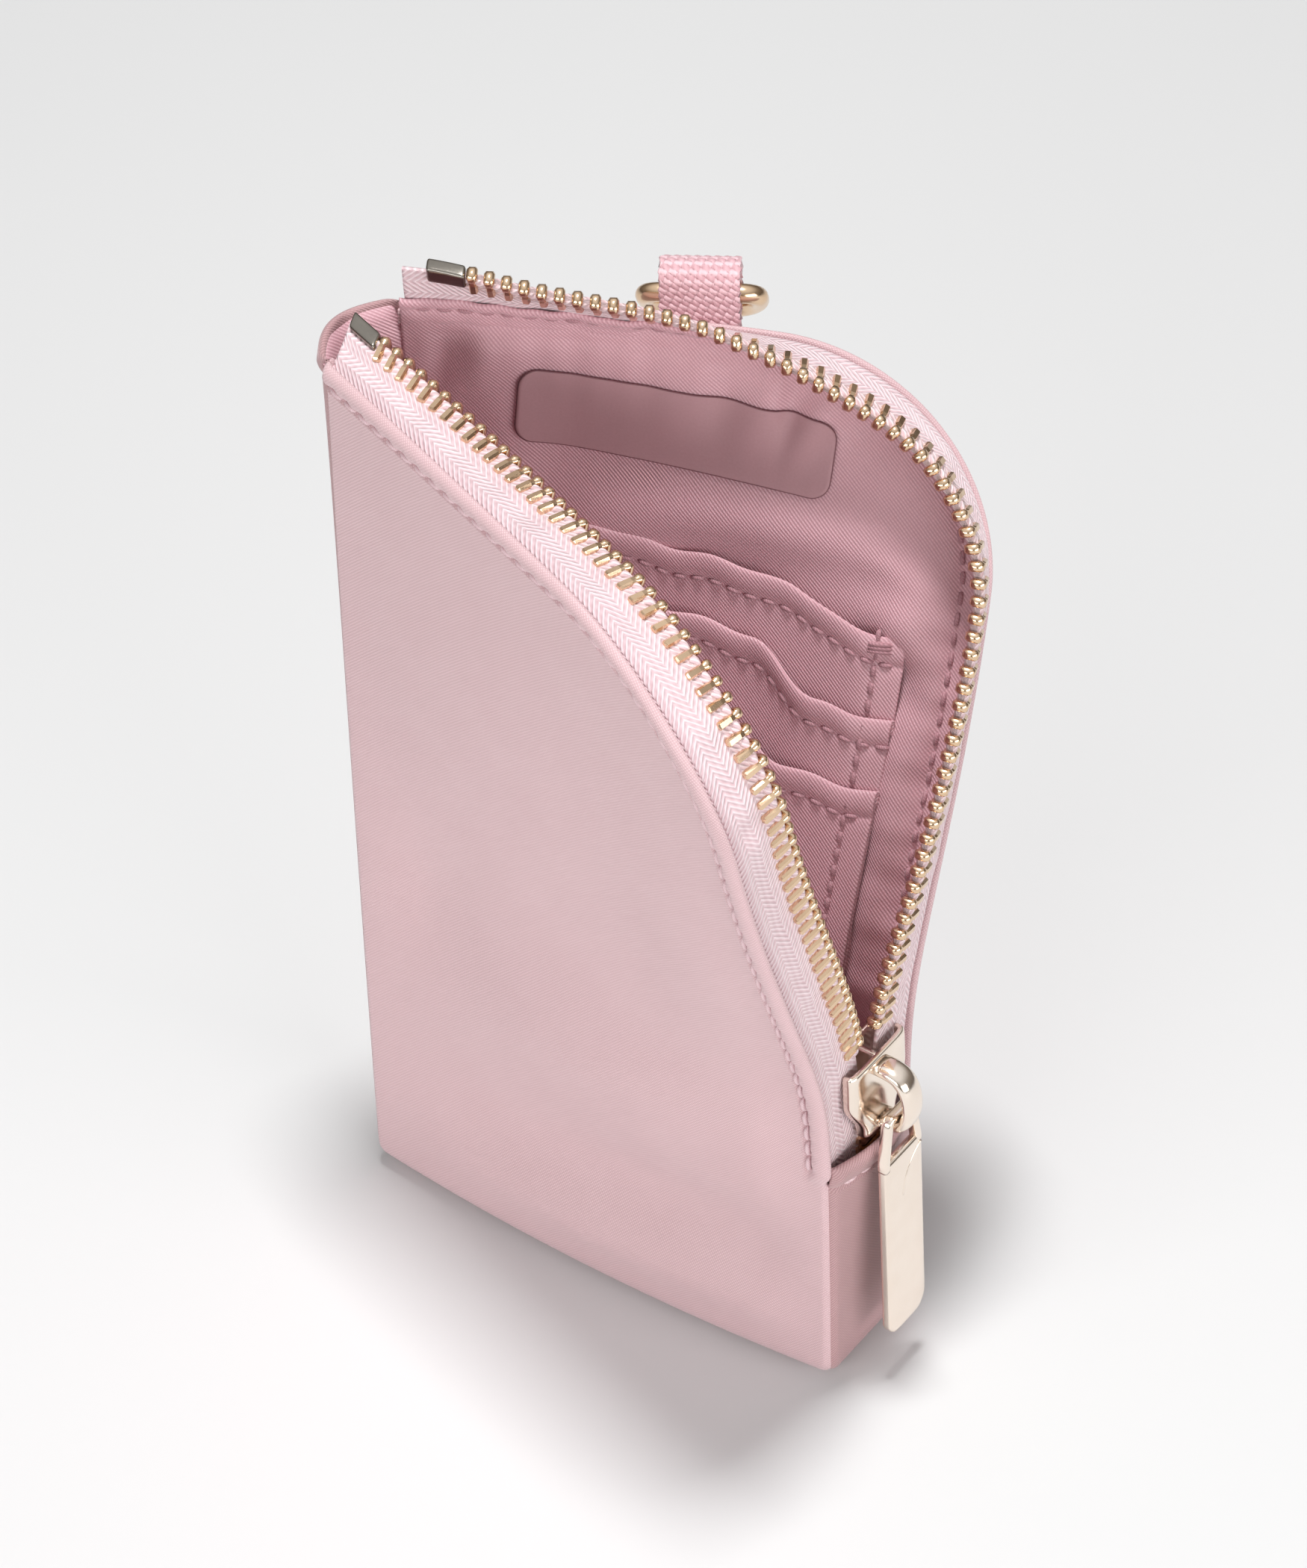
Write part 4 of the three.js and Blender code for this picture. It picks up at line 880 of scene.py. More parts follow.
def hem_line(layer_index, u):
    """Height of a pocket's hem: a gentle slant to the right, and an S drop that the slack cloth makes."""
    centre, spread, drop = POCKET_DROPS[layer_index]
    slanted = POCKET_TOP - layer_index * POCKET_STEP + HEM_SLANT * (POCKET_RIGHT - u)
    wander = 0.35 * np.sin(u / 3.1 + layer_index) + 0.25 * np.sin(u / 1.7)
    return slanted + drop * (0.5 - smooth_step(u, centre - 1.6 * spread, centre + spread)) + wander


def gape(layer_index, u, below):
    """How far a pocket stands off the cloth behind it: most at the hem, least at the sewn right edge."""
    centre = POCKET_DROPS[layer_index][0]
    swell = GAPE_SWELL * np.exp(-((u - centre) / GAPE_SPREAD) ** 2)
    lift = GAPE + swell + 0.4 * np.sin(u / 4.3 + 2 * layer_index)
    return lift * np.exp(-below / GAPE_FADE) * smooth_step(POCKET_RIGHT - u, 0.5, 7)


def pocket_point(layer_index, u, v, proud):
    """Points of a pocket at cut position u, v: proud of its layer on the back lining, plus its gape."""
    below = np.maximum(hem_line(layer_index, u) - v, 0)
    return layer(REAR, u, v, POCKET_FACE + POCKET_LAYER * layer_index + proud + gape(layer_index, u, below))


def add_pocket(name, layer_index):
    """One pocket: its body, the hem's section above and a right edge rolled in and creased at its seam."""
    roll_start = POCKET_RIGHT - POCKET_ROLL
    u = np.concatenate([np.linspace(POCKET_RIGHT - POCKET_WIDTH, roll_start, 120),
                        roll_start + POCKET_ROLL * np.sin(np.linspace(0, np.pi / 2, 6)[1:])])
    rolled = np.clip((u - roll_start) / POCKET_ROLL, 0, 1)
    roll = POCKET_ROLL_DEPTH * (1 - np.sqrt(np.maximum(1 - rolled ** 2, 0)))
    section = smooth_line(POCKET_HEM, 26)
    top = hem_line(layer_index, u)
    hem_start = top - POCKET_HEM[0][0]
    body = POCKET_BOTTOM + (hem_start - POCKET_BOTTOM) * np.linspace(0, 1, 70)[:-1, None]
    v = np.concatenate([body, top - section[:, :1]])
    beside = u > POCKET_RIGHT - POCKET_SEAM - 0.2
    crease = -0.18 * np.exp(-((u - POCKET_RIGHT + POCKET_SEAM) / 0.5) ** 2) + 0.1 * beside
    proud = np.concatenate([0 * body + crease, section[:, 1:] + 0 * u]) - roll
    cut_v = np.concatenate([body, hem_start + run_along(section)[:, None]])
    u = np.broadcast_to(u, v.shape)
    grid = (pocket_point(layer_index, u, v, proud), stacked(u, cut_v), False)
    return add_cloth(name + "_cloth", [grid], lining_cloth, "lining_cloth", [name], THIN_CLOTH)


pockets = [add_pocket(name, i) for i, name in enumerate(POCKET_NODES)]

# %% [markdown]
# ## Label
# A thin matte patch is sewn on above the pockets. It is a grid with round corners that lies on the
# slack of the lining. The line round its edge is worked out in the material, as a distance from the
# rounded outline.

# %% Label
LABEL_SIZE, LABEL_CENTRE, LABEL_CORNER, LABEL_LINE = (48.0, 12.5), (-4.0, 150.3), 3.0, 0.22
LABEL_SLANT, LABEL_LIFT = np.radians(3.6), 0.55
LABEL_HALF_WIDTH, LABEL_HALF_HEIGHT = LABEL_SIZE[0] / 2, LABEL_SIZE[1] / 2


def label_finish():
    """Matte patch: an even colour with fine grain, and a thin dark line round its rounded edge."""
    finish, shader, shade = new_finish("label_patch", Specular_IOR_Level=0.3)
    across, up = cut_position(shade)
    side = across.math("ABSOLUTE", across) - (LABEL_HALF_WIDTH - LABEL_CORNER)
    rise = up.math("ABSOLUTE", up) - (LABEL_HALF_HEIGHT - LABEL_CORNER)
    side, rise = side.math("MAXIMUM", side, 0.0), rise.math("MAXIMUM", rise, 0.0)
    reach = side.math("SQRT", side * side + rise * rise)
    outline = ((reach - (LABEL_CORNER - LABEL_LINE)) * 8).clip()
    grain = mottle(shade, 2.5, 4.0)
    plain = grain.mix(ink(176, 135, 140), ink(186, 146, 151))
    height = grain - outline * 2
    bump = shade.node("Bump", None, {"Strength": 0.4, "Distance": 0.03 * MM, "Height": height})
    feed(shader, Base_Color=outline.mix(plain, ink(128, 88, 94)), Roughness=grain * 0.1 + 0.5, Normal=bump)
    return finish


def add_label():
    """A patch with round corners, slanted a little, that lies on the slack of the back lining."""
    y = LABEL_HALF_HEIGHT * np.sin(np.linspace(-np.pi / 2, np.pi / 2, 26))[:, None]
    reach = LABEL_HALF_WIDTH - corner_inset(LABEL_HALF_HEIGHT - np.abs(y), LABEL_CORNER)
    x, y = np.broadcast_arrays(np.linspace(-1, 1, 70) * reach, y)
    u = LABEL_CENTRE[0] + x * np.cos(LABEL_SLANT) + y * np.sin(LABEL_SLANT)
    v = LABEL_CENTRE[1] + y * np.cos(LABEL_SLANT) - x * np.sin(LABEL_SLANT)
    points = layer(REAR, u, v, LINING_FACE + LABEL_LIFT + slack(REAR, u, v))
    grid = (points, stacked(x, y), False)
    return add_cloth("label_patch", [grid], label_finish(), "label", ["lining_label"], THIN_CLOTH)


label = add_label()

# %% [markdown]
# ## Zip tapes
# A zip half is a woven tape with a cord along one edge. Its other edge is caught between panel and
# lining, so the tape leaves the seam there, folds over and carries the teeth into the mouth. The
# fold angle changes along the run, which is what makes the rear tape stand up at its left end. A
# station holds a point of the fold line and the ways out of the panel, up the tape and square to it.

# %% Tapes
FOLD_INSET, TAPE_DEPTH, BEAD_REACH, FOLD_HANDLE, TAPE_MARGIN = 1.5, 1.45, 8.95, 1.4, 2.2
TAPE_THICKNESS, ROW_FOOT, TAPE_FOOT, SKEW_RUN = 0.6, 66.5, 42.6, 45.0
ROW_END = EDGE_RUN - ROW_FOOT
TAPE_END = ROW_END + ROW_FOOT - TAPE_FOOT
FRONT.start, FRONT.row_start, FRONT.skew = 1.0, 1.5, 0.7
FRONT.folds = [74, 95, 100, 101, 98, 94, 88, 90]
REAR.start, REAR.row_start, REAR.skew = 1.6, 5.4, 0.0
REAR.folds = [5, 38, 63, 109, 105, 89, 84, 84, 90]


def eased(values, share):
    """Smooth values at equal shares of a run: cubic pieces whose slopes go from neighbour to neighbour."""
    values = np.asarray(values, float)
    place = np.clip(share, 0, 1) * (len(values) - 1)
    index = np.minimum(place.astype(int), len(values) - 2)
    padded = np.concatenate([values[:1], values, values[-1:]])
    before, start, end, after = (padded[index + k] for k in range(4))
    return cubic(start, end, (end - before) / 2, (after - start) / 2, place - index)


def tape_station(wall, s):
    """Fold line at run s, with the ways out of the panel, up the tape (lead) and square to it (face)."""
    u, v, out_u, out_v = edge_point(s)
    point, across, up, inward = wall_frame(wall, u, v)
    out = unit(across * out_u[..., None] + up * out_v[..., None])
    along = unit(across * out_v[..., None] - up * out_u[..., None])
    angle = np.radians(eased(wall.folds, s / ROW_END))[..., None]
    slip = wall.skew * (1 - smooth_step(s, 0, SKEW_RUN))[..., None]
    fold = point - out * FOLD_INSET + inward * TAPE_DEPTH
    lead = unit(out * np.cos(angle) + inward * np.sin(angle) - along * slip)
    face = inward * np.cos(angle) - out * np.sin(angle)
    return fold, out, lead, face


def add_tape(name, wall, node):
    """Tape across its fold: margin, a quadratic bend cornered on the fold line, then straight to the cord."""
    s = np.linspace(wall.start, TAPE_END, 420)
    run = np.concatenate([np.linspace(-TAPE_MARGIN, FOLD_HANDLE, 12),
                          np.linspace(FOLD_HANDLE, BEAD_REACH, 20)[1:]])
    fold, out, lead, face = (part[:, None] for part in tape_station(wall, s))
    t = np.clip((run + FOLD_HANDLE) / (2 * FOLD_HANDLE), 0, 1)
    back = np.where(run < -FOLD_HANDLE, -run, FOLD_HANDLE * (1 - t) ** 2)[:, None]
    ahead = np.where(run > FOLD_HANDLE, run, FOLD_HANDLE * t ** 2)[:, None]
    billow = np.sin(s / 2.9) * np.sin(s / 7.1 + 1) * 0.28 + 0.12 * np.sin(s / 1.3)
    bulge = billow[:, None] * np.sin(np.pi * np.clip(run / BEAD_REACH, 0, 1))
    grid = fold - out * back + lead * ahead + face * bulge[..., None]
    cloth = (grid, stacked(s[:, None], run), wall.side < 0)
    return add_cloth(name, [cloth], zip_tape, "zip_tape", [node], TAPE_THICKNESS, 0)


front_tape = add_tape("front_tape_cloth", FRONT, "front_zip_tape")
rear_tape = add_tape("rear_tape_cloth", REAR, "rear_zip_tape")

# %% [markdown]
# ## Turned rim of the lining
# Along the top of the rear wall the lining's edge is turned over and sewn to the mouth side of the
# tape. It is a soft roll with a groove at the stitches, carried along the tape's fold line.

# %% Lining rim
RIM_LEAD, RIM_END = 0.8, 78
RIM_LINE = [(-2.8, 0.1), (-2.0, 0.5), (-1.2, 0.95), (-0.4, 1.2), (0.5, 1.15), (1.4, 0.8), (2.2, 1.15),
            (2.9, 1.05), (3.2, 0.65), (2.9, 0.4)]


def add_rim(name, wall):
    """The lining's turned edge, sewn along the mouth side of the tape, with puckers from the seam."""
    s = np.linspace(wall.start - RIM_LEAD, RIM_END, 260)
    section = smooth_line(RIM_LINE, 34)
    fold, out, lead, face = (part[:, None] for part in tape_station(wall, s))
    reach = section[:, :1]
    pucker = 0.22 * np.sin(s / 1.15) * np.sin(s / 3.7 + 1) + 0.15 * np.sin(s / 2.3)
    proud = section[:, 1] + pucker[:, None]
    grid = fold + lead * np.maximum(reach, 0) + out * np.minimum(reach, 0) + face * proud[..., None]
    cloth = (grid, stacked(s[:, None], section[:, 0]), wall.side < 0)
    return add_cloth(name, [cloth], lining_cloth, "lining_cloth", (), THIN_CLOTH, 0)


lining_rim = add_rim("rear_lining_rim", REAR)

# %% [markdown]
# ## Teeth and cord
# Each tooth is a little metal clip: two legs pressed on the cord, a narrow neck and a round head
# that locks between two heads of the other row. One tooth is lofted once and carried to every
# place on the cord, a pitch of 2.68 mm apart. The cord swells a little between the teeth.

# %% Teeth
TOOTH_PITCH, TOOTH_WIDTH, STOP_LENGTH, STOP_GAP, CORD_RADIUS = 2.68, 1.5, 6.0, 0.3, 0.8
TOOTH_RINGS = np.array([(-2.7, 0.45, 0.85), (-2.5, 0.68, 1.1), (-0.4, 0.64, 1.22), (0.35, 0.52, 1.15),
                        (0.8, 0.78, 1.3), (1.4, 0.88, 1.3), (1.9, 0.68, 0.95), (2.15, 0.2, 0.35)])
LEG_RINGS, ROW_SIDES, TOOTH_SQUARE = 3, 8, 0.55
CORD_MEAN, CORD_SWELL = 1.02, 0.14


def rounded_ring(count, power):
    """Unit ring between a circle and a square: cosine and sine, each raised to a power of at most one."""
    angle = np.arange(count) * 2 * np.pi / count + np.pi / count
    circle = np.stack([np.cos(angle), np.sin(angle)], 1)
    return np.sign(circle) * np.abs(circle) ** power


def cap_quads(sides):
    """Quads that close a ring with an even number of points, as rungs between its two halves."""
    k = np.arange(sides // 2 - 1)
    return np.stack([k, k + 1, sides - 2 - k, sides - 1 - k], 1)


def loft(rings):
    """Points and quads of a solid through rings (rings by sides by three), with a cap at both ends."""
    count, sides = rings.shape[:2]
    cap = cap_quads(sides)
    quads = [grid_quads(count, sides, True), cap[:, ::-1], cap + (count - 1) * sides]
    return rings.reshape(-1, 3), np.concatenate(quads)


def tooth_rings():
    """Rings of one tooth: reach up the tape, width along the row, thickness through it."""
    ring = rounded_ring(ROW_SIDES, TOOTH_SQUARE)
    return stacked(TOOTH_RINGS[:, :1], TOOTH_RINGS[:, 1:2] * ring[:, 0], TOOTH_RINGS[:, 2:] * ring[:, 1])


def cord_runs(wall):
    """A function from length along the cord to run along the edge, and the cord's whole length."""
    runs = np.linspace(wall.row_start, ROW_END, 2400)
    fold, _, lead, _ = tape_station(wall, runs)
    length = run_along(fold + lead * BEAD_REACH)
    return lambda place: np.interp(place, length, runs), length[-1]


def cord_frames(wall, s):
    """Points on the cord with the directions up the tape, along the row and through the tape."""
    fold, _, lead, face = tape_station(wall, s)
    row = unit(np.cross(face, lead))
    return fold + lead * BEAD_REACH, np.stack([lead, row, face], 1)


def ring_loft(centres, frames, rings):
    """Solid through rings given as pairs along the first and last direction of each frame."""
    return loft(centres[:, None] + rings[..., :1] * frames[:, None, 0] + rings[..., 1:] * frames[:, None, 2])


def scatter(origins, frames, template, faces):
    """A template carried to every origin: origin plus its coordinates along that origin's frame."""
    points = origins[:, None] + np.einsum("tk,nkc->ntc", template, frames)
    shift = np.arange(len(origins))[:, None, None] * len(template)
    return points.reshape(-1, 3), (faces + shift).reshape(-1, 4)


def add_row(side_name, wall):
    """Teeth and cord of one zip half; gives back the number of teeth."""
    run_at, total = cord_runs(wall)
    places = np.arange(STOP_LENGTH + STOP_GAP + TOOTH_WIDTH / 2, total - TOOTH_WIDTH / 2, TOOTH_PITCH)
    points, quads = scatter(*cord_frames(wall, run_at(places)), *loft(tooth_rings()))
    teeth = add_piece(side_name + "_teeth", points, quads, tooth_gold, "zip_metal",
                      [side_name + "_zip_teeth"])
    smooth = np.arange(len(quads) // len(places)) >= ROW_SIDES * LEG_RINGS
    teeth.data.polygons.foreach_set("use_smooth", np.tile(smooth, len(places)))
    length = np.arange(STOP_LENGTH, total, TOOTH_PITCH / 5)
    wave = np.cos(2 * np.pi * (length - places[0]) / TOOTH_PITCH)
    swell = CORD_RADIUS * (CORD_MEAN - CORD_SWELL * wave)
    rings = swell[:, None, None] * rounded_ring(ROW_SIDES, 1.0)
    around = np.arange(ROW_SIDES) * CORD_RADIUS * 2 * np.pi / ROW_SIDES
    points, quads = ring_loft(*cord_frames(wall, run_at(length)), rings)
    add_piece(side_name + "_cord", points, quads, zip_tape, "zip_tape",
              cloth=stacked(length[:, None], around).reshape(-1, 2))
    return len(places)


print("one tooth has", len(TOOTH_RINGS), "rings of", ROW_SIDES, "points")

# %% [markdown]
# ## Rows and stops
# A stop is a strip of grey metal clamped round the cord where the row ends: a rounded block whose end
# rings draw in like a round corner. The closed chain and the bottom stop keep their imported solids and
# take the gold of the teeth.

# %% Rows and stops
STOP_ROUND, STOP_HALF, STOP_DRAW, STOP_SIDES, STOP_SQUARE = 0.5, (1.55, 1.2), 0.6, 24, 0.35
STOP_OFFSET = (0.1, 0.0)


def add_top_stop(side_name, wall):
    """Folded clamp: a rounded block along the cord whose end rings draw in."""
    run_at, _ = cord_runs(wall)
    end = np.linspace(0, STOP_ROUND, 4)
    place = np.concatenate([end, np.linspace(STOP_ROUND, STOP_LENGTH - STOP_ROUND, 9)[1:-1],
                            STOP_LENGTH - end[::-1]])
    inset = corner_inset(np.minimum(place, STOP_LENGTH - place), STOP_ROUND)
    half = np.array(STOP_HALF) - STOP_DRAW * inset[:, None]
    rings = half[:, None] * rounded_ring(STOP_SIDES, STOP_SQUARE) + STOP_OFFSET
    points, quads = ring_loft(*cord_frames(wall, run_at(place)), rings)
    add_piece(side_name + "_stop", points, quads, stop_steel, "stop_metal", [side_name + "_top_stop"])


for side_name, wall in (("front", FRONT), ("rear", REAR)):
    print(side_name, "row has", add_row(side_name, wall), "teeth")
    add_top_stop(side_name, wall)
for node in ("closed_chain", "bottom_stop"):
    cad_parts[node].data.materials.clear()
    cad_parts[node].data.materials.append(tooth_gold)

# %% [markdown]
# ## Slider and crown
# The slider is pressed from sheet metal: two plates whose edges are folded round the teeth, joined
# by a wedge. On top sits a thick round arch, the crown, and the pull hangs on it by its eye. The
# plates are C-shaped rings lofted from the narrow foot to the wide mouth.

# %% Slider
SLIDER_LOW, SLIDER_MIDDLE, SLIDER_HIGH = 51.2, 58.7, 66.2
CHAIN_X = wall_point(FRONT, HALF, SLIDER_MIDDLE)[0] - FOLD_INSET
CHANNEL, PLATE, FLANGE, SLOT = 1.9, 1.2, 0.9, 1.05
THROAT, MOUTH, MOUTH_LENGTH = 3.3, 6.5, 6.0
PLATE_END, PLATE_START, PLATE_STEPS = np.array([0, 0.12, 0.4]), 0.9, 36
EDGE_DRAW, EDGE_FADE = 0.45, 0.25
PLATE_OUTSIDE = [(SLOT, 1.0), (1.5, 1.0), (2.4, 0.98), (2.95, 0.86), (3.1, 0.6), (3.1, 0)]
PLATE_INSIDE = [(SLOT, 1.0), (1.3, 1.0), (1.75, 0.97), (CHANNEL, 0.8), (CHANNEL, 0)]
WEDGE_REACH, WEDGE_EDGE, WEDGE_GROWTH, WEDGE_DROP, WEDGE_SHOULDER = 2.6, 0.1, 0.4, 0.2, 2.0
CROWN_FOOT, CROWN_HIGH, CROWN_BAND, CROWN_WIDTH = 52.1, 65.3, 2.2, 4.3
CROWN_SUNK, CROWN_POWER = 0.1, 0.55
EYE_BAR, EYE_PLAY = (1.6, 1.8), 0.3
PIVOT_REACH, PIVOT_Z = 4.8, 55.902
PIVOT_X = wall_point(FRONT, HALF, HEM_HEIGHT)[0] + PIVOT_REACH


def mirrored_line(half, axis):
    """A line from the mirror image of a half's first point, through its last point, back to its first."""
    half = np.array(half, float)
    flip = np.ones(2)
    flip[axis] = -1
    return np.concatenate([half * flip, half[-2::-1]])


def slider_plate(side):
    """Half of the slider: rings with a folded lip at each side, the outside first and the inside back."""
    low, high = SLIDER_LOW + PLATE_START, SLIDER_HIGH - PLATE_START
    z = np.concatenate([SLIDER_LOW + PLATE_END, np.linspace(low, high, 24),
                        SLIDER_HIGH - PLATE_END[::-1]])[:, None]
    half = THROAT + (MOUTH - THROAT) * smooth_step(z, low, SLIDER_HIGH - MOUTH_LENGTH)
    ends = 1 - EDGE_DRAW * np.exp(-np.minimum(z - SLIDER_LOW, SLIDER_HIGH - z) / EDGE_FADE)[..., None]
    outer = smooth_line(mirrored_line(PLATE_OUTSIDE, 1), PLATE_STEPS)
    inner = smooth_line(mirrored_line(PLATE_INSIDE, 1), PLATE_STEPS)
    outside = stacked(outer[:, 0], outer[:, 1] * (half + FLANGE))
    inside = stacked(inner[:, 0], inner[:, 1] * half)
    middle = (outside + inside) / 2
    ring = np.concatenate([middle + (outside - middle) * ends,
                           (middle + (inside - middle) * ends)[:, ::-1]], 1)
    points, quads = loft(stacked(CHAIN_X + side * ring[..., 0], ring[..., 1], z))
    return points, quads if side > 0 else quads[:, ::-1]


def merge(parts):
    """Several lists of points and quads as one."""
    points, quads, count = [], [], 0
    for place, faces in parts:
        points.append(place)
        quads.append(faces + count)
        count += len(place)
    return np.concatenate(points), np.concatenate(quads)


def path_loft(path, section, sideways):
    """A section carried along a path: first direction square to path and sideways, second along sideways."""
    along = unit(np.gradient(path, axis=0))
    square = unit(np.cross(along, sideways))
    return loft(path[:, None] + section[:, :1] * square[:, None] + section[:, 1:] * np.asarray(sideways))


def slider_wedge():
    """The post between the plates, at the mouth end, with a sharp lower edge."""
    low = SLIDER_HIGH - MOUTH_LENGTH
    z = np.linspace(low, SLIDER_HIGH - WEDGE_DROP, 12)[:, None]
    half = WEDGE_EDGE + WEDGE_GROWTH * smooth_step(z, low, SLIDER_HIGH - WEDGE_SHOULDER)
    ring = rounded_ring(16, 0.5)
    return loft(stacked(CHAIN_X + WEDGE_REACH * ring[:, 0], half * ring[:, 1], z))


def crown_arch():
    """A thick band over the pull's eye: a half turn whose height grows by a low power of the sine."""
    reach = PIVOT_X + np.hypot(*EYE_BAR) / 2 + EYE_PLAY + CROWN_BAND / 2
    seat = CHAIN_X + CHANNEL + PLATE - CROWN_SUNK
    low, high = CROWN_FOOT + CROWN_BAND / 2, CROWN_HIGH - CROWN_BAND / 2
    turn = np.linspace(0, np.pi, 60)
    arch = stacked(seat + (reach - seat) * np.sin(turn) ** CROWN_POWER, 0 * turn,
                   (low + high) / 2 - (high - low) / 2 * np.cos(turn))
    band = rounded_ring(20, 0.85) * [CROWN_BAND / 2, CROWN_WIDTH / 2]
    return path_loft(arch, band, [0.0, 1.0, 0.0])


points, quads = merge([slider_plate(1), slider_plate(-1), slider_wedge()])
add_piece("slider_plates", points, quads, pale_gold, "slider_metal", ["slider_body"], body="slider")
add_piece("crown_arch", *crown_arch(), pale_gold, "slider_metal", ["slider_crown"], body="slider")

# %% [markdown]
# ## Pull tab
# The pull is cast with a flat blade and an open eye that rides on the crown. The blade is a loft of
# flat rounded rings that narrow round its lower corners, and the eye is one bar bent over the top.
# A thin curved step crosses the blade below the eye.

# %% Pull
PULL_LENGTH, PULL_HALF, PULL_THICK, EYE_LENGTH, BAR_HALF = 47.0, 5.0, 0.9, 7.5, 0.8
PULL_CORNERS = (2.6, 3.6)
PULL_FOOT, EYE_FOOT = PIVOT_Z + BAR_HALF - PULL_LENGTH, PIVOT_Z - BAR_HALF - EYE_LENGTH
EYE_LINE = [(4.3, EYE_FOOT - 1.2), (4.25, EYE_FOOT + 0.3), (3.9, EYE_FOOT + 2.5), (3.35, PIVOT_Z - 2.4),
            (3.05, PIVOT_Z - 0.9), (2.5, PIVOT_Z - 0.15), (1.6, PIVOT_Z), (0, PIVOT_Z)]
STEP_LINE = [(4.6, EYE_FOOT - 1.4), (3.2, EYE_FOOT - 2.1), (1.6, EYE_FOOT - 3.6), (0.2, EYE_FOOT - 6.0),
             (-0.6, EYE_FOOT - 9.0)]
RAIL_HALF, RIDGE_HALF, RIDGE_SUNK = 0.75, (0.22, 0.16), 0.05
OUTWARD = [1.0, 0.0, 0.0]


def pull_blade():
    """The blade: flat rings from foot to eye, drawn in by two round corners and thinned at both ends."""
    length = EYE_FOOT - PULL_FOOT
    height = np.concatenate([0.02 + 4 * (1 - np.cos(np.linspace(0, np.pi / 2, 22))),
                             np.linspace(4.3, length - 0.5, 30),
                             length - np.array([0.3, 0.12, 0.02])])[:, None]
    left = -PULL_HALF + corner_inset(height, PULL_CORNERS[0])
    right = PULL_HALF - corner_inset(height, PULL_CORNERS[1])
    thick = PULL_THICK * (1 - 0.5 * np.exp(-np.minimum(height, length - height) / EDGE_FADE))
    ring = rounded_ring(32, 0.3)
    y = (left + right) / 2 + (right - left) / 2 * ring[:, 1]
    return loft(stacked(PIVOT_X + thick * ring[:, 0], y, PULL_FOOT + height))


def pull_path(corners, count, lift=0.0):
    """A smooth path through corners in the pull's own plane, lifted out of it."""
    line = smooth_line(corners, count)
    return stacked(PIVOT_X + lift, line[:, 0], line[:, 1])


eye = path_loft(pull_path(mirrored_line(EYE_LINE, 0), 70),
                rounded_ring(20, 0.6) * [RAIL_HALF, PULL_THICK], OUTWARD)
ridge = path_loft(pull_path(STEP_LINE, 30, PULL_THICK - RIDGE_SUNK),
                  rounded_ring(10, 1.0) * RIDGE_HALF, OUTWARD)
points, quads = merge([pull_blade(), eye, ridge])
add_piece("pull_blade", points, quads, pale_gold, "slider_metal", ["pull_tab"], body="pull")

# %% [markdown]
# ## Webbing loop and ring
# A short piece of webbing is folded over the ring's bar and sewn into the top seam behind. Webbing
# is woven thick, so its ribs are real relief: a wave along the strip times a wave across it. The
# ring is round wire bent to a D.

# %% Loop and ring
LOOP_CENTRE, BAR_HEIGHT, LOOP_MIDDLE, LOOP_BEND = -1.0, 1.9, 3.7, 2.45
WEBBING_WIDTH, WEBBING_TAIL, WEBBING_RISE = 12.7, 6.0, 5.1
RING_WIRE, RING_HALF, RING_BEND, RING_SIDE, RING_TILT = 1.5, 8.45, 2.6, 1.6, np.radians(55)
WEBBING_THICKNESS, WEBBING_SHARE, RIB_HEIGHT, RIB_LENGTH, RIB_WIDTH = 1.1, 0.47, 0.16, 1.3, 1.5
RING_STEPS, WIRE_SIDES = 120, 18
loop_origin, _, loop_up, loop_inward = wall_frame(REAR, np.array(LOOP_CENTRE), np.array(PANEL_HEIGHT))
loop_out = -loop_inward
loop_along = unit(np.cross(loop_out, loop_up))


def loop_place(p, q, r):
    """Point p out from the panel, q up from its edge and r along it."""
    return loop_origin + stacked(p, q, r) @ np.stack([loop_out, loop_up, loop_along])


def add_webbing():
    """Strip folded over the bar, with ribs along and across it; gives back the piece and its length."""
    over = np.linspace(np.pi, 0, 9)
    top = BAR_HEIGHT + WEBBING_RISE - LOOP_BEND
    line = smooth_line([(1.25, -WEBBING_TAIL), (1.25, -3), (1.25, 0), (1.25, 2.5),
                        *zip(LOOP_MIDDLE + LOOP_BEND * np.cos(over), top + LOOP_BEND * np.sin(over)),
                        (6.15, 2.0), (5.95, 0.2), (4.6, -1.4), (3.1, -2.9), (2.85, -4.2),
                        (2.85, -WEBBING_TAIL)], 150)
    length = run_along(line)
    run = length[:, None]
    along = unit(np.gradient(line, axis=0))
    across = np.linspace(-1, 1, 60) * WEBBING_WIDTH * WEBBING_SHARE
    bead = np.cos(2 * np.pi * across / RIB_WIDTH + np.pi * run / RIB_LENGTH)
    rib = RIB_HEIGHT * np.sin(2 * np.pi * run / RIB_LENGTH) * bead
    points = loop_place(line[:, :1] - along[:, 1:] * rib, line[:, 1:] + along[:, :1] * rib, across)
    grid = (points, stacked(run, across), True)
    piece = add_cloth("webbing_strip", [grid], webbing, "webbing", ["webbing_loop"], WEBBING_THICKNESS, 0)
    return piece, length[-1]


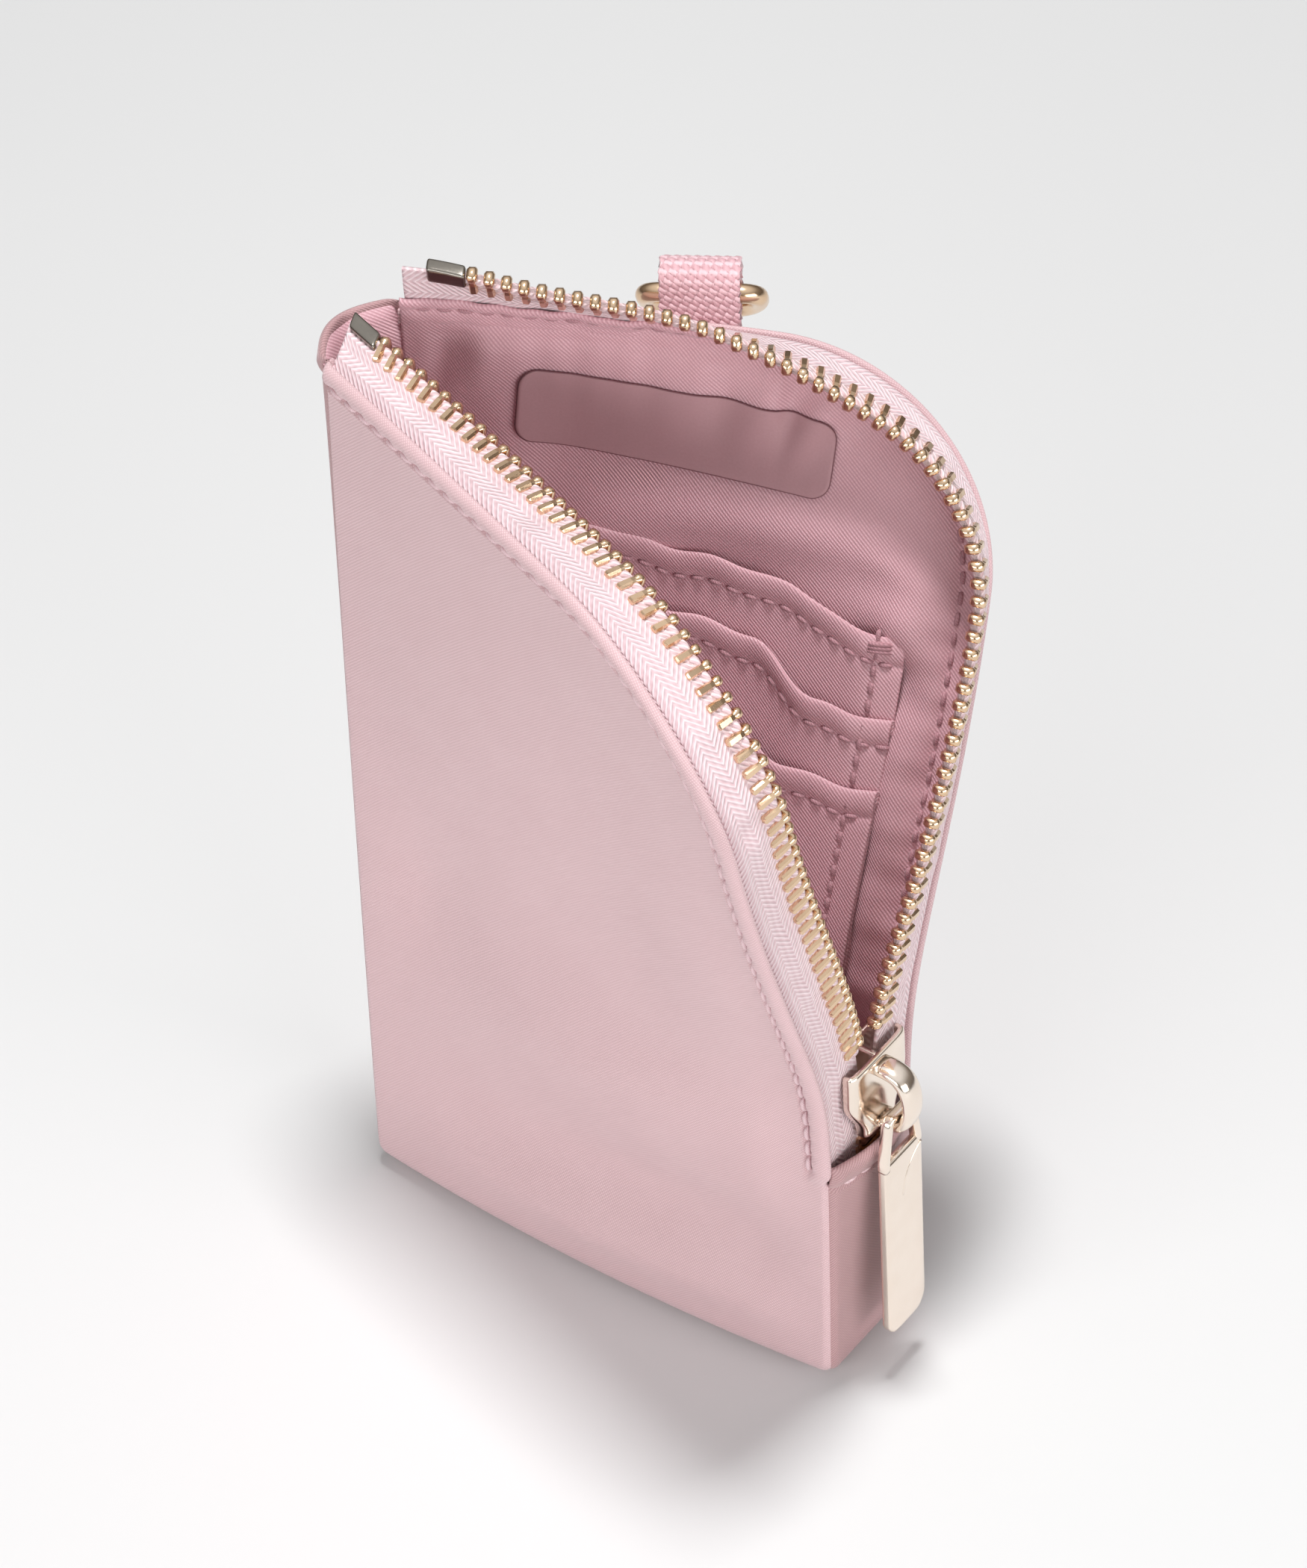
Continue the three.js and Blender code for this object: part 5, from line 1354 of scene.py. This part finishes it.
def add_ring():
    """Wire ring: bar, two bends, short sides and a half circle, tilted out about its bar."""
    turn = np.linspace(np.pi / 2, 0, 12)
    right = stacked(RING_HALF - RING_BEND + RING_BEND * np.cos(turn), RING_BEND * (np.sin(turn) - 1))
    sweep = np.linspace(0, -np.pi, 48)
    round_end = stacked(RING_HALF * np.cos(sweep), RING_HALF * np.sin(sweep) - RING_BEND - RING_SIDE)
    path = np.concatenate([[[0, 0]], right, round_end, right[::-1] * [-1, 1], [[0, 0]]])
    length = run_along(path)
    path = sampled(np.linspace(0, length[-1], RING_STEPS + 1), length, path)
    along = path[np.r_[1:RING_STEPS + 1, 1]] - path[np.r_[RING_STEPS - 1, 0:RING_STEPS]]
    out = unit(stacked(along[:, 1], -along[:, 0]))
    circle = rounded_ring(WIRE_SIDES, 1.0) * RING_WIRE
    r = path[:, :1] + out[:, :1] * circle[:, 0]
    hang = path[:, 1:] + out[:, 1:] * circle[:, 0]
    p = LOOP_MIDDLE + circle[:, 1] * np.cos(RING_TILT) - hang * np.sin(RING_TILT)
    q = BAR_HEIGHT + circle[:, 1] * np.sin(RING_TILT) + hang * np.cos(RING_TILT)
    quads = grid_quads(RING_STEPS + 1, WIRE_SIDES, True)
    return add_piece("wire_ring", loop_place(p, q, r).reshape(-1, 3), quads, tooth_gold,
                     "slider_metal", ["d_ring"], body="ring")


loop, loop_length = add_webbing()
ring = add_ring()

# %% [markdown]
# ## Stitches
# Topstitching is a row of short threads that dive into the cloth at each end. One stitch is a small
# capsule, bent down at its tips and carried along a seam line, and each kind of seam has a function
# that gives its line and the cloth's normal there.

# %% Stitches
STITCH_RINGS = np.array([(-1.4, 0.14, -0.5), (-1.15, 0.36, -0.14), (-0.5, 0.44, 0.0), (0.5, 0.44, 0.0),
                         (1.15, 0.36, -0.14), (1.4, 0.14, -0.5)])
STITCH_SIDES, SEAM_SAMPLES = 6, 900
TOP_DEPTH = POUCH_DEPTH - 2 * TOP_PINCH
LINING_SEAM_PAST, LINING_STITCH_PROUD = 10, 0.12
RIM_STITCH, RIM_STITCH_PROUD, RIM_SEAM_END = 1.4, 0.95, 70


def stitch_rings(scale):
    """Rings of one stitch: along it, to its side and up from the cloth."""
    ring = rounded_ring(STITCH_SIDES, 1.0)
    length, half, rise = (STITCH_RINGS[:, k:k + 1] for k in range(3))
    return stacked(length * scale, half * ring[:, 0], half * ring[:, 1] + rise)


def sew(line, normal, pitch=STITCH_PITCH, scale=1.0):
    """Stitches a pitch apart along a line of points, each lying across the cloth's normal there."""
    length = run_along(line)
    places = np.arange(pitch / 2, length[-1], pitch)
    along = unit(sampled(places, length, np.gradient(line, axis=0)))
    up = unit(sampled(places, length, normal))
    frames = np.stack([along, np.cross(up, along), up], 1)
    return scatter(sampled(places, length, line), frames, *loft(stitch_rings(scale)))


def wall_seam(wall, s, inset, depth, sign):
    """A seam line a distance in from the zip edge, with the cloth's normal: out of the panel or inward."""
    u, v, out_u, out_v = edge_point(s)
    point, _, _, inward = wall_frame(wall, u - out_u * inset, v - out_v * inset)
    return point + inward * np.asarray(depth)[..., None], sign * inward


def gusset_seam(u, v, bow, sunk):
    """A seam line across a gusset at height v, lying in the groove of its lip or hem."""
    share = np.linspace(SEAM_SEAT, TOP_DEPTH - SEAM_SEAT, 80) / TOP_DEPTH
    front, rear = wall_point(FRONT, u, v), wall_point(REAR, u, v)
    line = front + (rear - front) * share[:, None]
    line[:, 0] += np.sign(u) * (bow(v) * np.sin(np.pi * share) - sunk)
    return line, np.broadcast_to([np.sign(u), 0.0, 0.0], line.shape)


def lining_seam(wall, start):
    """The lining's seam along the zip, on the slack of the lining."""
    s = np.linspace(start, ROW_END + LINING_SEAM_PAST, SEAM_SAMPLES)
    u, v, out_u, out_v = edge_point(s)
    depth = LINING_FACE + slack(wall, u - out_u * LINING_SEAM, v - out_v * LINING_SEAM)
    return wall_seam(wall, s, LINING_SEAM, depth + LINING_STITCH_PROUD, 1)


def rim_seam(wall):
    """The seam of the lining's turned edge, a little way up the tape."""
    fold, _, lead, face = tape_station(wall, np.linspace(wall.start + 1, RIM_SEAM_END, 300))
    return fold + lead * RIM_STITCH + face * RIM_STITCH_PROUD, face


def pocket_seam(layer_index, u, v, proud):
    """A seam line on a pocket, with the way into the mouth as its normal."""
    return pocket_point(layer_index, u, v, proud), wall_frame(REAR, u, v)[3]


print("one stitch has", len(STITCH_RINGS), "rings of", STITCH_SIDES, "points")

# %% [markdown]
# ## Sewing
# Pale thread runs along both lips, over the top of the left gusset and along the hem. Along the
# lining's seams and round the pockets the thread is coloured darker as painted shade, with three
# short bars where the upper pocket takes the strain.

# %% Sewing
HEM_STITCH, POCKET_HEM_STITCH, SEAM_DEPTH, HEM_DEPTH = 4.6, 4.45, 0.02, 0.3
FINE_STITCH, POCKET_STITCH, TACK_STITCH = (3.2, 0.85), (2.9, 0.8), (4.4, 1.6)
TACK_SPAN, TACK_DROP, TACK_STEP, TACK_PROUD, SIDE_PROUD = (-5.6, -0.8), 1.2, 0.6, 0.45, 0.05
lip_run = np.linspace(2.0, EDGE_RUN - HEM_HEIGHT + 1, SEAM_SAMPLES)
outer_seams = [wall_seam(wall, lip_run, LIP_STITCH + wall.tuck, SEAM_DEPTH + 0 * lip_run, -1)
               for wall in (FRONT, REAR)]
outer_seams.append(gusset_seam(-HALF, PANEL_HEIGHT - LIP_STITCH, left_bow, SEAM_DEPTH))
outer_seams.append(gusset_seam(HALF, HEM_HEIGHT - HEM_STITCH, hem_bow, HEM_DEPTH))

hem_u = np.linspace(POCKET_RIGHT - POCKET_WIDTH + 2, POCKET_RIGHT - 0.6, 300)
side_u = POCKET_RIGHT - POCKET_SEAM + 0 * hem_u
side_tops = [hem_line(i, side_u[0]) for i in range(3)]
side_feet = side_tops[1:] + [POCKET_BOTTOM]
pocket_seams = [pocket_seam(i, hem_u, hem_line(i, hem_u) - POCKET_HEM_STITCH, 0.0 * hem_u) for i in range(3)]
for i in range(3):
    side_v = np.linspace(side_feet[i], side_tops[i], len(side_u))
    pocket_seams.append(pocket_seam(i, side_u, side_v, SIDE_PROUD + 0 * side_u))
tack_u = np.linspace(*TACK_SPAN, 20) + POCKET_RIGHT
tack_heights = [side_tops[0] - TACK_DROP - TACK_STEP * k for k in range(3)]
tacks = [pocket_seam(0, tack_u, height + 0 * tack_u, TACK_PROUD + 0 * tack_u) for height in tack_heights]
fine_seams = [lining_seam(FRONT, 4), lining_seam(REAR, 72), rim_seam(REAR)]

points, quads = merge([sew(*seam) for seam in outer_seams])
add_piece("outer_topstitching", points, quads, thread_yarn, "panel_cloth", cloth=points[:, [0, 2]])
points, quads = merge([sew(*seam, *stitch) for seams, stitch in (
    (fine_seams, FINE_STITCH), (pocket_seams, POCKET_STITCH), (tacks, TACK_STITCH)) for seam in seams])
add_piece("inner_topstitching", points, quads, shaded_yarn, "lining_cloth", cloth=points[:, [0, 2]])

# %% [markdown]
# ## Cloth pieces
# A sheet keeps its area when it is sewn and bent. Its flat size is the cut piece: the panel's
# outline plus what is turned under at its seams.

# %% Sheets
print("cloth pieces: 2 panels, 3 gussets, 5 linings, 3 pockets, label, 2 tapes, webbing")
